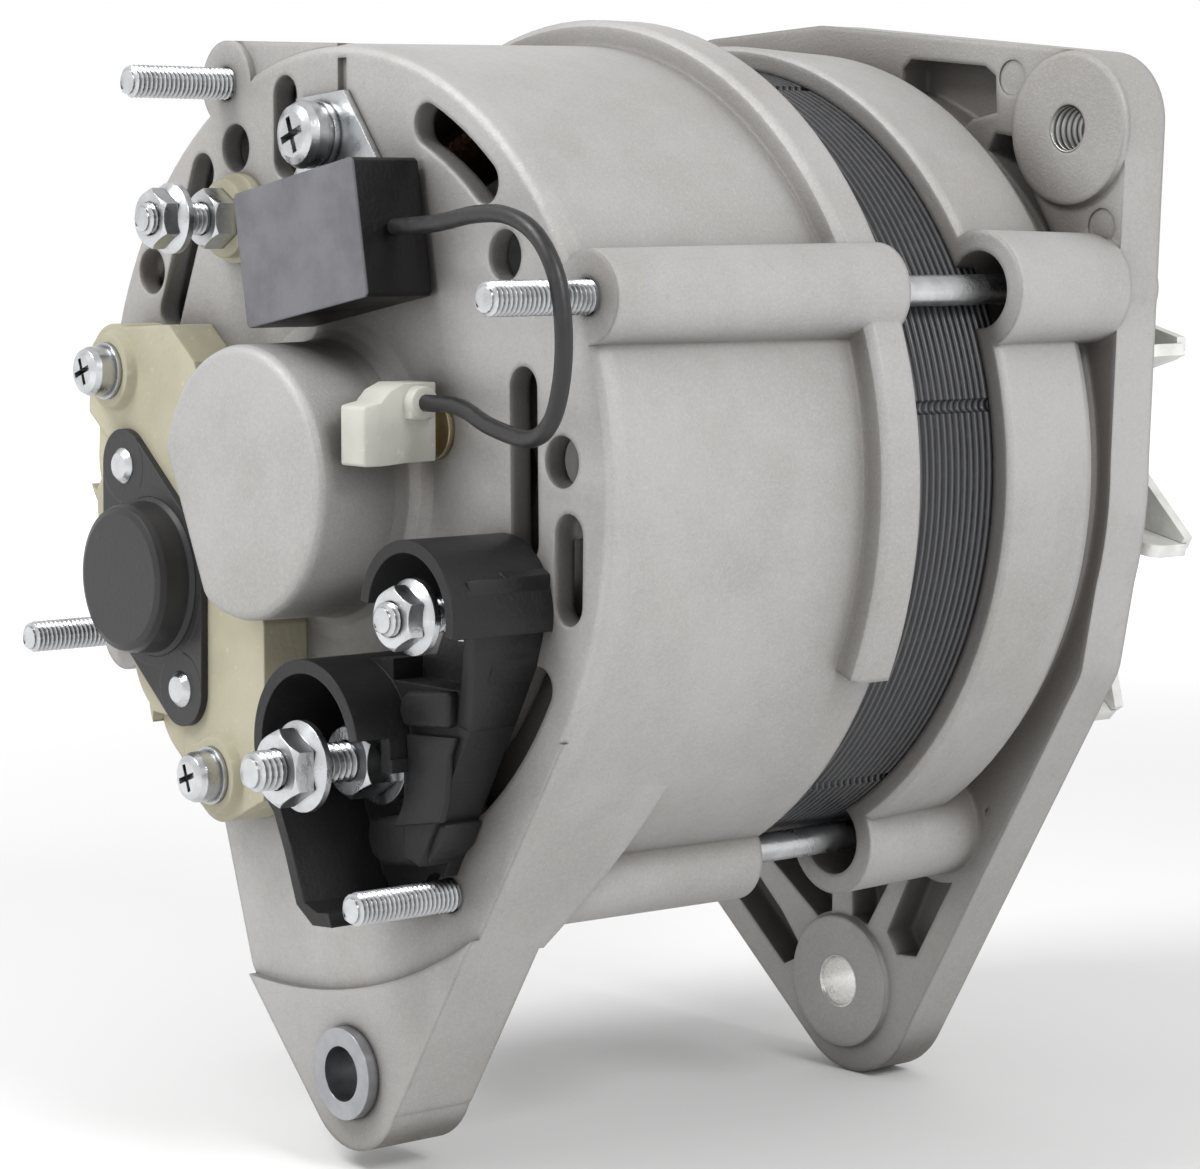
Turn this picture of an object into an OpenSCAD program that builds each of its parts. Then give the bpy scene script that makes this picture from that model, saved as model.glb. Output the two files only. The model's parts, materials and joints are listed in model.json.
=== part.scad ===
// Vehicle alternator with an outside fan: two cast brackets clamped round a stator by four
// through bolts, a claw-pole rotor on two ball bearings, a brush holder with its regulator,
// a rectifier, a suppression capacitor and the terminal studs.
// The shaft lies along Y. The origin is on its axis, where the pulley seats against the fan.

/* [Brackets] */
// Outer radius of the rear bracket at its rear edge
case_r = 64.4; // [63.6:0.2:66]
// Growth of the bracket's radius towards its open edge, for the mould
case_draft = 1.1; // [0.6:0.1:1.6]
// Wall of both brackets
wall = 3.6; // [3:0.2:4.2]
// Length of the rear bracket, from its open edge to its end face
rear_len = 54.7; // [50:0.5:60]
// Thickness of the rear bracket's end plate
end_t = 3.6; // [3:0.2:5]
// Step out to the collar round the rear bracket's open edge
collar_step = 3.9; // [2:0.1:5]
// Width of that collar
collar_w = 7.6; // [5:0.2:9]
// Depth of the drive-end bracket, from its open edge to its front plane
drive_len = 33.5; // [32:0.5:38]
// Wall of the drive-end skirt round the stator
skirt_wall = 3.6; // [3:0.1:4.4]
// Thickness of the drive-end flange and its lugs
flange_t = 8.8; // [7:0.2:10]
// Depth by which the flange's edge stays inside the skirt
flange_inset = 2.4; // [1.2:0.2:3]
// Wall of the rear bracket round the stator
pilot_wall = 2.9; // [2.5:0.1:3.6]
// Depth by which the stator sits in each bracket
pilot = 4; // [3:0.5:6]
// Length of stator that shows between the brackets
stator_gap = 21.3; // [18:0.5:24]

/* [Through bolts] */
// Space between the stator and a through bolt
bolt_gap = 0.4; // [0.3:0.1:1.2]
// Angle of the first bolt above the +X side
bolt_turn = 25.3; // [23:0.5:28]
// Thread radius of the through bolts
bolt_r = 2.5; // [2.3:0.1:2.6]
// Length of thread that stands out of the end face
stud_out = 18.2; // [12:0.5:22]
// Radius of a bolt boss on the rear bracket, at the end face
boss_r = 6.6; // [6:0.2:7.4]
// Radius of a bolt boss on the rear bracket, at the open edge
boss_wide_r = 7.2; // [6.6:0.2:8.4]
// Inner radius of the hollow bolt lobes on the drive-end skirt
lobe_hollow_r = 5.9; // [5.5:0.1:6.5]
// Wall of those lobes
lobe_wall = 3.1; // [2.5:0.1:3.4]

/* [Hub and bearings] */
// Outer radius of the rear hub
hub_r = 20.3; // [19.4:0.2:22]
// Height of the rear hub above the end face
hub_h = 17.5; // [15.5:0.5:19]
// Distance from the shaft axis to the flat on the rear hub
hub_flat = 15.4; // [15.2:0.1:17]
// Outer radius of the rear bearing
rb_out = 14; // [13:0.5:14.5]
// Bore radius of the rear bearing
rb_in = 6; // [5:0.5:7]
// Width of the rear bearing
rb_w = 8; // [7:0.5:9]
// Outer radius of the front bearing
fb_out = 23.5; // [21:0.5:24]
// Bore radius of the front bearing
fb_in = 8.5; // [8:0.5:10]
// Width of the front bearing
fb_w = 14; // [12:0.5:14]
// Wall of the front bearing's hub
front_hub_wall = 5.5; // [5:0.5:7]
// Thickness of the bearing retainer plate
retainer_t = 2.5; // [2:0.5:3]

/* [Mounting lugs] */
// Side offset of the pivot axis
pivot_x = 5; // [0:0.5:8]
// Height of the pivot axis, below the shaft
pivot_z = -89.5; // [-94:0.5:-86]
// Radius of the pivot holes
pivot_hole_r = 4.2; // [4:0.1:5]
// Outer radius of the steel bush in the rear lug
bush_r = 7; // [6:0.2:8]
// Thickness of the rear lug
lug_t = 14; // [12:0.5:16]
// Tip radius of the rear lug
lug_tip_r = 12; // [10.5:0.5:13]
// Height of the rear lug's face above the end face
lug_step = 1.4; // [0.6:0.2:3]
// Tip radius of the drive-end lug
foot_tip_r = 14.2; // [13.4:0.2:16]
// Radius of the round pad at the drive-end pivot hole
pivot_pad_r = 11.4; // [9:0.2:12.5]
// Side offset of the adjuster hole
adjust_x = 54.8; // [53:0.2:56]
// Height of the adjuster hole
adjust_z = 52.4; // [51:0.2:54]
// Wall radius of the adjuster's thread
adjust_hole_r = 3.4; // [3.2:0.1:4.2]
// Radius of the round pad at the adjuster hole
adjust_pad_r = 12; // [10:0.2:12]

/* [Stator and rotor] */
// Depth of the stator core behind its slots
yoke_t = 5; // [4:0.2:6]
// Radial depth of a stator slot
slot_depth = 7.6; // [6:0.2:8]
// Width of a stator slot
slot_w = 4; // [3:0.2:4.6]
// Reach of the end turns beyond the core
turn_h = 11; // [8:0.5:12]
// Air gap between rotor and stator
air_gap = 0.5; // [0.4:0.05:0.8]
// Thickness of a claw pole's disc
claw_disc_t = 11; // [9:0.5:12]
// Axial space between the two claw discs
coil_w = 20; // [18:0.5:22]
// Radius of the claw poles' hub, under the coil
claw_core_r = 24; // [22:0.5:26]
// Thickness of a claw finger at its root
claw_t = 12; // [10:0.5:13]
// Thickness of a claw finger at its tip
claw_tip_t = 5; // [4:0.5:6]
// Radius of the slip rings
ring_r = 12; // [11.5:0.25:13]
// Width of a slip ring
ring_w = 6; // [5.5:0.25:6.5]

/* [Shaft and fan] */
// Radius of the pulley seat
seat_r = 7.5; // [7:0.1:8]
// Length of the pulley seat
seat_len = 22; // [18:1:26]
// Thread radius at the shaft's end
thread_r = 6.9; // [6:0.1:6.9]
// Length of thread at the shaft's end
thread_len = 14; // [10:0.5:18]
// Thickness of the fan's sheet
fan_t = 2; // [1.5:0.1:2.5]
// Distance from the fan disc to the drive-end front plane
fan_stand = 12.5; // [11:0.5:15]
// Tip radius of the fan blades
fan_r = 61.5; // [56:0.5:62]
// Number of fan blades
fan_blades = 12; // [8:1:14]
// Width of a blade, measured along the shaft
blade_w = 9; // [6:0.5:10]

/* [Regulator and brushes] */
// Direction from the shaft to the brush holder, above the +X side
holder_turn = 205; // [203:0.5:207]
// Distance from the shaft to the holder's screws and its far edge
holder_mid = 37.5; // [36.5:0.5:38.5]
// Half the distance between the holder's two screws
holder_span = 33.7; // [32:0.1:35]
// Height of the holder's plate above the end face
holder_h = 8; // [6:0.5:10]
// Distance from the shaft to the regulator's centre
reg_mid = 40.4; // [40:0.2:41]
// Half the distance between the regulator's rivets
rivet_span = 18.7; // [17.5:0.1:20]
// Radius of the regulator's round cap
cap_r = 11.6; // [10:0.2:12]
// Height of the regulator's round cap
cap_h = 6; // [4:0.5:9]
// Width of a brush
brush_w = 6.4; // [5:0.2:7]
// Thickness of a brush, along the shaft
brush_t = 4.4; // [3.6:0.2:4.6]
// Length of a brush
brush_len = 12; // [10:0.5:13]

/* [Capacitor] */
// Length of the capacitor
capacitor_w = 30.4; // [28:0.2:32]
// Width of the capacitor
capacitor_h = 20; // [18:0.2:20]
// Depth of the capacitor
capacitor_d = 11.5; // [9:0.5:13]
// Tilt of the capacitor on the end face
capacitor_tilt = 10; // [8:1:12]
// Radius of the capacitor's lead
lead_r = 1.25; // [1:0.05:1.5]

/* [Terminals] */
// Side offset of the main terminal stud
main_x = 15.8; // [15.2:0.2:16.4]
// Height of the main terminal stud
main_z = -40; // [-41:0.2:-39]
// Radius of the main terminal stud
main_r = 3; // [2.5:0.1:3.2]
// Side offset of the lamp terminal stud
lamp_x = 41; // [40.4:0.2:41.6]
// Height of the lamp terminal stud
lamp_z = -16.3; // [-17:0.1:-15.6]
// Side offset of the phase terminal stud
phase_x = -24; // [-25:0.2:-23]
// Height of the phase terminal stud
phase_z = 38.6; // [37.6:0.2:39.6]
// Radius of the two small studs
small_r = 2.5; // [2:0.1:2.6]
// Thickness of the terminal block's base
base_t = 2.5; // [2:0.5:3]
// Height of the terminal block's guard walls
guard_h = 17.5; // [14:0.5:19]

/* [Hidden] */
$fn = 96;

// Colours
cast = "#a8a5a0";
zinc = "#c9ced4";
steel = "#8d9196";
black = "#2b2b2e";
cream = "#d8d2b0";
copper = "#a8582c";

// Stations along the shaft
front_y = -(fan_t + fan_stand);
skirt_y = front_y - drive_len;
rear_y = skirt_y - stator_gap;
end_y = rear_y - rear_len;
plate_y = end_y + end_t;
hub_y = end_y - hub_h;
flange_y = front_y - flange_t;
core_front_y = skirt_y + pilot;
core_rear_y = rear_y - pilot;
mid_y = (core_front_y + core_rear_y) / 2;

// Fits and clearances
fit = 0.02;
thread_fit = 0.04;
pilot_fit = 0.05;
pass_gap = 0.35;
seat_gap = 0.3;
eps = 0.01;
sliver = 0.002;

// Radii that follow
case_wide_r = case_r + case_draft;
inner_r = case_r - wall;
collar_r = case_wide_r + collar_step;
stator_r = case_wide_r - pilot_wall;
stator_bore_r = stator_r - yoke_t - slot_depth;
pilot_r = stator_r + pilot_fit;
skirt_r = stator_r + skirt_wall;
flange_r = skirt_r - flange_inset;
bolt_circle_r = stator_r + bolt_gap + bolt_r;
shank_r = bolt_r - 0.2;
pivot = [pivot_x, pivot_z];
adjuster = [adjust_x, adjust_z];
main_at = [main_x, main_z];
lamp_at = [lamp_x, lamp_z];
phase_at = [phase_x, phase_z];
bolt_angles = [for (i = [0:3]) bolt_turn + 90 * i];

function at(a, r) = [r * cos(a), r * sin(a)];
function bolt_at(i) = at(bolt_angles[i], bolt_circle_r);

// An extrusion along the shaft, of an outline drawn as seen from the rear, X right and Z up
module slab(y0, y1) {
    translate([0, y1, 0]) rotate([90, 0, 0]) linear_extrude(y1 - y0) children();
}

// A round bar along the shaft, of radius r0 at y0 and r1 at y1
module rod(p, y0, y1, r0, r1) {
    translate([p.x, y1, p.y]) rotate([90, 0, 0]) cylinder(h = y1 - y0, r1 = r1, r2 = r0);
}

// A turned shape: its profile is drawn as [radius, station along the shaft]
module turned() {
    rotate([-90, 0, 0]) rotate_extrude() children();
}

// The part of a turned shape between two angles above the +X side
module turned_arc(a0, a1) {
    rotate([-90, 0, 0]) rotate([0, 0, -a1]) rotate_extrude(angle = a1 - a0) children();
}

module disc(p, r) {
    translate(p) circle(r);
}

// The straight tangents between two circles
module bridge(p, rp, q, rq) {
    d = q - p;
    turn = atan2(d.y, d.x);
    lean = acos((rp - rq) / norm(d));
    polygon([
        p + at(turn + lean, rp - sliver), q + at(turn + lean, rq - sliver),
        q + at(turn - lean, rq - sliver), p + at(turn - lean, rp - sliver)
    ]);
}

// Two circles joined by their tangents
module link(p, rp, q, rq) {
    disc(p, rp);
    disc(q, rq);
    bridge(p, rp, q, rq);
}

// A slot with round ends that follows a circle about the shaft
module arc_slot(r, a0, a1, w) {
    reach = 1.5 * r;
    intersection() {
        difference() {
            circle(r + w / 2);
            circle(r - w / 2);
        }
        polygon([[0, 0], at(a0, reach), at((a0 + a1) / 2, reach), at(a1, reach)]);
    }
    disc(at(a0, r), w / 2 - 0.02);
    disc(at(a1, r), w / 2 - 0.02);
}

// A flat six-sided nut with chamfered corners, its bore on the line through p
module hex_nut(p, y0, y1, af, bore) {
    corner = af / sqrt(3);
    chamfer = corner - af / 2;
    difference() {
        intersection() {
            slab(y0, y1) translate(p) rotate(30) circle(corner, $fn = 6);
            union() {
                rod(p, y0, y0 + chamfer, af / 2, corner, $fn = 48);
                rod(p, y0 + chamfer - eps, y1, corner, corner, $fn = 48);
            }
        }
        rod(p, y0 - 1, y1 + 1, bore, bore, $fn = 48);
    }
}

// A six-sided nut with a round flange on its +Y side
module flange_nut(p, y0, y1, af, flange_r, bore) {
    rim = 1;
    hex_nut(p, y0, y1 - 2 * rim, af, bore);
    difference() {
        union() {
            rod(p, y1 - 2 * rim, y1 - rim, af / 2, flange_r, $fn = 48);
            rod(p, y1 - rim, y1, flange_r, flange_r, $fn = 48);
        }
        rod(p, y0 - 1, y1 + 1, bore, bore, $fn = 48);
    }
}

// A cross-recessed pan screw whose head bears on the plane y_seat from the rear
module pan_screw(p, y_seat, y_tip, r, head_r, head_h) {
    dome = 0.35;
    cross = 0.22 * head_r;
    difference() {
        union() {
            translate([p.x, 0, p.y]) rotate([-90, 0, 0]) rotate_extrude($fn = 48) polygon([
                [0, y_seat - head_h], [head_r * (1 - dome), y_seat - head_h],
                [head_r * (1 - dome / 3), y_seat - head_h * (1 - dome / 2)],
                [head_r, y_seat - head_h / 2], [head_r, y_seat], [0, y_seat]
            ]);
            rod(p, y_seat - eps, y_tip, r, r, $fn = 32);
        }
        for (turn = [0, 90]) {
            slab(y_seat - head_h - 1, y_seat - head_h / 2) translate(p) rotate(turn + 20)
                square([1.1 * head_r, cross], center = true);
        }
    }
}

// A plain or spring washer
module washer(p, y0, y1, r_in, r_out) {
    difference() {
        rod(p, y0, y1, r_out, r_out, $fn = 48);
        rod(p, y0 - 1, y1 + 1, r_in, r_in, $fn = 48);
    }
}

// Rear bracket

lug_face_y = end_y - lug_step;
lug_front_y = lug_face_y + lug_t;
lug_heel = [-18.7, -75.4];
lug_hip = [-25.8, -54.4];
heel_r = 5;
lug_step_at = [-16.2, 18.9];
lug_step_r = 98;
flare_y = end_y + 25.5;
hub_inner_r = rb_out + 4;
hub_inner_h = 4.5;

// The rear lug: straight on its right, and with a heel on its left below the brush holder
module lug_outline() {
    inside = case_r - 0.4;
    disc(pivot, lug_tip_r);
    disc(lug_heel, heel_r);
    disc(lug_hip, heel_r);
    bridge(lug_hip, heel_r, lug_heel, heel_r);
    bridge(lug_heel, heel_r, pivot, lug_tip_r);
    intersection() {
        bridge([0, 0], inside, pivot, lug_tip_r);
        polygon([[-6, -30], lug_hip, lug_heel, pivot, [80, -120], [80, 0]]);
    }
}

// Flat crown between the upper left bolt boss and the top of the body
module crown_outline() {
    intersection() {
        bridge(bolt_at(1), boss_r, [0, 0], case_r);
        polygon([[-60, 80], [0, 80], [0, 50], [-20, 40], bolt_at(1)]);
    }
}

// The lug's right side runs forward over the lower bolt boss, and dies out on the body
module lug_flare() {
    inside = case_r - 0.4;
    intersection() {
        slab(end_y + 1, flare_y) intersection() {
            bridge([0, 0], inside, pivot, lug_tip_r);
            polygon([[22, -50], [22, -68], [34, -68], [80, -30], [56, -20]]);
        }
        turned() polygon([
            [0, end_y], [case_r + 14, end_y], [case_r + 14, lug_front_y - 2],
            [case_r - 1, flare_y], [0, flare_y]
        ]);
    }
}

module rear_shell() {
    edge = 1.4;
    turned() polygon([
        [0, rear_y], [case_wide_r, rear_y], [case_r, end_y + 2 * edge],
        [case_r - edge / 3, end_y + edge / 2], [case_r - edge, end_y],
        [hub_r + 4, end_y], [hub_r + 1.8, end_y - 0.6], [hub_r + 0.6, end_y - 1.8],
        [hub_r + 0.2, end_y - 4], [hub_r, hub_y + 1.3], [hub_r - 0.4, hub_y + 0.4],
        [hub_r - 1.3, hub_y], [0, hub_y]
    ]);
}

module rear_collar(a0, a1) {
    turned_arc(a0, a1) polygon([
        [inner_r + 1, rear_y - collar_w - 0.6], [collar_r - 1, rear_y - collar_w],
        [collar_r, rear_y - collar_w + 1], [collar_r, rear_y - 0.8],
        [collar_r - 0.8, rear_y], [inner_r + 1, rear_y]
    ]);
}

vent_w = 6.2;
vent_hole_r = 3.7;

// Slots in the end plate: angle and depth inside the shell for each of their two ends
vent_slots = [
    [18.4, 13.2, -8.1, 14.9], [-5.2, 5.4, -14.8, 3.9], [102.1, 2.5, 104.4, 11.7],
    [127.3, 3.4, 151.5, 10.5]
];
// Slots that follow the shell: first angle, last angle and depth
vent_arcs = [[50, 66, 3.8], [-52, -29, 5.4]];
// Round vents: angle and depth
vent_holes = [[39.2, 7.8], [5.5, 6.9], [117.4, 5.2], [148.6, 2.7]];

module rear_vents() {
    for (v = vent_arcs) {
        arc_slot(inner_r - v[2], v[0], v[1], vent_w);
    }
    for (v = vent_slots) {
        link(at(v[0], inner_r - v[1]), vent_w / 2, at(v[2], inner_r - v[3]), vent_w / 2);
    }
    for (v = vent_holes) {
        disc(at(v[0], inner_r - v[1]), vent_hole_r);
    }
}

module brush_window() {
    rotate(holder_turn) translate([hub_flat + 0.5, -box_half_w - 1.5])
        square([box_far - hub_flat + 1, 2 * box_half_w + 3]);
}

module rear_bracket() color(cast) difference() {
    union() {
        difference() {
            union() {
                rear_shell();
                for (i = [0:3]) {
                    rod(bolt_at(i), end_y, rear_y, boss_r, boss_wide_r, $fn = 64);
                }
                rear_collar(bolt_turn, bolt_turn + 90);
                rear_collar(-24.5, bolt_turn);
                slab(end_y, lug_front_y) lug_outline();
                slab(end_y + 1, rear_y - 1) crown_outline();
                lug_flare();
                slab(lug_face_y, end_y + eps) difference() {
                    lug_outline();
                    disc(lug_step_at, lug_step_r);
                }
            }
            turned() polygon([
                [0, plate_y], [inner_r, plate_y], [inner_r, core_rear_y],
                [pilot_r, core_rear_y], [pilot_r, rear_y + 1], [0, rear_y + 1]
            ]);
        }
        turned() polygon([
            [0, plate_y - 1], [hub_inner_r, plate_y - 1],
            [hub_inner_r, plate_y + hub_inner_h], [0, plate_y + hub_inner_h]
        ]);
        for (s = [-1, 1]) {
            rod(holder_screw_at(s), plate_y - 1, plate_y + 6, 4.5, 4.5, $fn = 48);
        }
        rod(capacitor_screw_at, plate_y - 1, plate_y + 5, 4.5, 4.5, $fn = 48);
        for (p = sink_posts) {
            rod(p, plate_y - 1, sink_seat_y, 4, 4, $fn = 48);
        }
    }
    // Bearing seat, with the way in from the rotor's side
    rod([0, 0], rear_seat_y, plate_y + hub_inner_h + 1, rb_out + fit, rb_out + fit);
    rod([0, 0], hub_y + 2.6, rear_seat_y + eps, rb_out - 2, rb_out - 2);
    // Flat beside the brush holder, and the window its box goes through
    slab(hub_y - 1, end_y) rotate(holder_turn) translate([hub_flat, -30]) square([20, 60]);
    slab(end_y - 1, plate_y + hub_inner_h + 1) brush_window();
    slab(end_y - 1, plate_y + eps) rear_vents();
    slab(end_y - 1, end_y + 0.9) translate([1.4, 47.6]) square([2.2, 14.6]);
    for (i = [0:3]) {
        rod(bolt_at(i), end_y - 3, rear_y + 1, bolt_r + thread_fit, bolt_r + thread_fit,
            $fn = 48);
    }
    rod(pivot, lug_face_y - 1, lug_front_y + 1, bush_r + fit, bush_r + fit, $fn = 64);
    for (s = [-1, 1]) {
        rod(holder_screw_at(s), end_y - 1, plate_y + 5, screw_r + thread_fit,
            screw_r + thread_fit, $fn = 32);
    }
    rod(capacitor_screw_at, end_y - 1, plate_y + 4, cap_screw_r + thread_fit,
        cap_screw_r + thread_fit, $fn = 32);
    for (p = sink_posts) {
        rod(p, plate_y + 1, sink_seat_y + 1, post_screw_r + thread_fit,
            post_screw_r + thread_fit, $fn = 32);
    }
    rod(main_at, end_y - 1, plate_y + 1, main_r + 2, main_r + 2, $fn = 48);
    rod(lamp_at, end_y - 1, plate_y + 1, small_r + 2, small_r + 2, $fn = 48);
    rod(phase_at, end_y - 1, plate_y + 1, small_r + 2, small_r + 2, $fn = 48);
    rod(spade_at, end_y - 1, plate_y + 1, spade_neck_r + 0.2, spade_neck_r + 0.2, $fn = 48);
    rod(spade_at, end_y - 5, end_y, spade_foot_r + 0.2, spade_foot_r + 0.2, $fn = 48);
}

module pivot_bush() color(steel) {
    bush_out = 2;
    difference() {
        rod(pivot, lug_face_y - bush_out, lug_front_y, bush_r, bush_r, $fn = 64);
        rod(pivot, lug_face_y - bush_out - 1, lug_front_y + 1, pivot_hole_r, pivot_hole_r,
            $fn = 64);
    }
}

// Drive-end bracket

corner_at = adjuster + [0.2, 1];
corner_r = 11;
crown_r = 10;
crown_mid_r = 12;
crown_mid_at = [-2, flange_r - 5.4];
foot_at = pivot + [2, -0.9];
heel_at = [-46, -52];
foot_heel_r = 9.6;
side_r = 8;
side_at = at(-6, flange_r - side_r);
hip_at = at(-30, flange_r + 2.8 - side_r);
web_t = 3;
rim_w = 4.8;
groove_depth = 4;
shoulder_y = flange_y - groove_depth;
lobe_floor_y = shoulder_y - 2;
lobe_r = lobe_hollow_r + lobe_wall;
front_hub_r = fb_out + front_hub_wall;
window_in_r = front_hub_r + 4;
window_out_r = inner_r - 7;
spider_t = 5;
mark_r = 2.8;
mark_depth = 0.25;

module flange_outline() {
    circle(flange_r);
    link(corner_at, corner_r, crown_mid_at, crown_mid_r);
    link(crown_mid_at, crown_mid_r - sliver, bolt_at(1), crown_r);
    link(corner_at, corner_r - sliver, side_at, side_r);
    link(side_at, side_r - sliver, hip_at, side_r);
    link(foot_at, foot_tip_r, heel_at, foot_heel_r);
    link(foot_at, foot_tip_r - sliver, hip_at, side_r - sliver);
    link(heel_at, foot_heel_r - sliver, bolt_at(2), lobe_r);
    polygon([
        foot_at, heel_at, bolt_at(2), bolt_at(1), crown_mid_at, corner_at, side_at, hip_at
    ]);
}

// The lower lug's pockets, between its ribs, down to the web
module foot_pockets() {
    difference() {
        intersection() {
            union() {
                polygon([
                    [-36, -54], [-43, -58], [-43, -64], [-20.6, -82], [-11.6, -90],
                    [-5.6, -87.1], [-5.8, -84.7], [-10, -79.8], [-25, -66.5]
                ]);
                polygon([[-18, -66], [-12, -71.7], [0, -80], [2.4, -79], [2.7, -60]]);
                polygon([[6.9, -60], [7.4, -79], [11.1, -79], [16, -71.2], [17.5, -60]]);
                polygon([
                    [22.5, -60], [20.4, -70.3], [15.6, -79.6], [17.9, -83], [24, -82.6],
                    [34, -72], [48, -50]
                ]);
            }
            union() {
                link(foot_at, foot_tip_r - rim_w, heel_at, foot_heel_r - rim_w);
                link(foot_at, foot_tip_r - rim_w - sliver, hip_at, side_r - rim_w);
                polygon([foot_at, heel_at, bolt_at(2), hip_at]);
            }
        }
        circle(skirt_r + 1.5);
        disc(pivot, pivot_pad_r + 0.4);
        for (i = [2, 3]) {
            disc(bolt_at(i), lobe_r + 1.2);
        }
    }
}

// The pockets above the skirt, beside the adjuster
module crown_pocket() {
    difference() {
        union() {
            polygon([
                [17.6, 58], [17.6, 62.6], [19.6, 64.2], [36.2, 62.6], [38.5, 61],
                [38.8, 55.2], [33.5, 54.3], [27, 50]
            ]);
            polygon([
                [38.6, 52], [42.6, 51.4], [44.2, 46.8], [50.8, 36.4], [48.6, 35.2], [36, 48]
            ]);
        }
        circle(inner_r + 0.8);
        disc(adjuster, adjust_pad_r - 0.2);
    }
}

module drive_end_bracket() color(cast) difference() {
    union() {
        // Skirt, closed by a spider that carries the bearing hub
        turned() polygon([
            [pilot_r, skirt_y], [skirt_r - 0.8, skirt_y], [skirt_r, skirt_y + 0.8],
            [skirt_r - 0.8, shoulder_y - 3], [skirt_r - 2.2, shoulder_y - 0.6],
            [skirt_r - 5, shoulder_y], [inner_r + 0.2, shoulder_y],
            [inner_r + 0.2, front_y], [inner_r - 5, front_y],
            [inner_r - 5, core_front_y], [pilot_r, core_front_y]
        ]);
        slab(flange_y, front_y) difference() {
            flange_outline();
            circle(inner_r - 3);
        }
        for (i = [0:3]) {
            rod(bolt_at(i), skirt_y, flange_y + eps, lobe_r, lobe_r - 0.6, $fn = 64);
            rod(bolt_at(i), flange_y - 1, front_y, flange_lobe_r, flange_lobe_r, $fn = 64);
        }
        slab(front_y - spider_t, front_y) difference() {
            circle(inner_r - 2);
            circle(front_hub_r - 1);
        }
        turned() polygon([
            [fb_out - 4, front_y + 1.5], [front_hub_r - 1.5, front_y + 1.5],
            [front_hub_r, front_y], [front_hub_r, retainer_seat_y],
            [fb_out - 4, retainer_seat_y]
        ]);
        rod(pivot, flange_y - 1, flange_y + eps, pivot_pad_r - 0.3, pivot_pad_r, $fn = 72);
        rod(adjuster, flange_y - 1, flange_y + eps, adjust_pad_r - 0.3, adjust_pad_r,
            $fn = 72);
        for (a = [-100, 140, 164]) {
            slab(lobe_floor_y, flange_y + 1) intersection() {
                rotate(a) translate([inner_r, -1.7]) square([8, 3.4]);
                flange_outline();
            }
        }
    }
    // Hollow of the skirt
    turned() polygon([
        [0, skirt_y - 1], [pilot_r, skirt_y - 1], [pilot_r, core_front_y],
        [winding_room_r, core_front_y], [winding_room_r, core_front_y + turn_h + 1],
        [inner_r - 4, front_y - spider_t],
        [front_hub_r, front_y - spider_t], [front_hub_r, retainer_seat_y],
        [0, retainer_seat_y]
    ]);
    // Bearing seat, with a lip at the front
    rod([0, 0], retainer_seat_y - 1, retainer_seat_y + fb_w, fb_out + fit, fb_out + fit);
    rod([0, 0], retainer_seat_y, front_y + 3, fb_out - 3.5, fb_out - 3.5);
    // Air windows between the spokes
    slab(front_y - spider_t - 1, front_y + 1) {
        for (i = [0:7]) {
            rotate(i * 45 + 22) intersection() {
                difference() {
                    circle(window_out_r);
                    circle(window_in_r);
                }
                polygon([at(-15, 20), at(-17, 80), at(17, 80), at(15, 20)]);
            }
        }
    }
    for (i = [0:3]) {
        rod(bolt_at(i), skirt_y - 1, lobe_floor_y, lobe_hollow_r, lobe_hollow_r - 0.6,
            $fn = 64);
        rod(bolt_at(i), lobe_floor_y - 1, front_y + 1, bolt_r + pass_gap, bolt_r + pass_gap,
            $fn = 48);
        rod(bolt_at(i), head_seat_y, front_y + 1, head_room_r, head_room_r, $fn = 48);
        rod(at(retainer_turn + 90 * i, retainer_circle_r), retainer_seat_y - 1,
            retainer_seat_y + 9, screw_r + thread_fit, screw_r + thread_fit, $fn = 32);
    }
    slab(flange_y - 1, front_y - web_t) {
        foot_pockets();
        crown_pocket();
    }
    for (p = [corner_at + [-13, 7.2], corner_at + [6.2, -16]]) {
        rod(p, flange_y - 1, flange_y + mark_depth, mark_r, mark_r, $fn = 32);
    }
    rod(pivot, flange_y - 3, front_y + 1, pivot_hole_r, pivot_hole_r, $fn = 64);
    rod(adjuster, flange_y - 3, front_y + 1, adjust_hole_r, adjust_hole_r, $fn = 64);
}

// Stator

slots = 36;
turns_r = stator_bore_r + slot_depth + 0.8;
winding_room_r = turns_r + 0.6;

module stator_core() color("#3b3b3d") {
    notch_r = 1.1;
    slab(core_rear_y, core_front_y) difference() {
        circle(stator_r, $fn = 180);
        circle(stator_bore_r, $fn = 180);
        for (i = [0:slots - 1]) {
            rotate(i * 360 / slots) translate([stator_bore_r - 1, -slot_w / 2])
                square([slot_depth + 1, slot_w]);
        }
        for (i = [0:5]) {
            rotate(i * 60 + 10) translate([stator_r + 0.3, 0]) circle(notch_r, $fn = 24);
        }
    }
}

module stator_winding() color(copper) {
    near_r = stator_bore_r + 2;
    far_r = stator_bore_r + slot_depth - 0.4;
    bar_w = slot_w - 0.6;
    for (side = [-1, 1]) {
        y0 = side < 0 ? core_rear_y : core_front_y;
        y1 = y0 + side * turn_h;
        turned() polygon([
            [near_r, y0 + side * seat_gap], [near_r - 0.6, y0 + side * 4],
            [near_r, y1 - side * 2], [near_r + 2, y1], [far_r - 1.4, y1],
            [turns_r, y1 - side * 2.5], [turns_r, y0 + side * 3],
            [far_r, y0 + side * seat_gap]
        ]);
    }
    slab(core_rear_y - 1, core_front_y + 1) {
        for (i = [0:slots - 1]) {
            rotate(i * 360 / slots) translate([near_r, -bar_w / 2])
                square([far_r - near_r, bar_w]);
        }
    }
}

// Through bolts, with their heads in the drive-end flange

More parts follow.
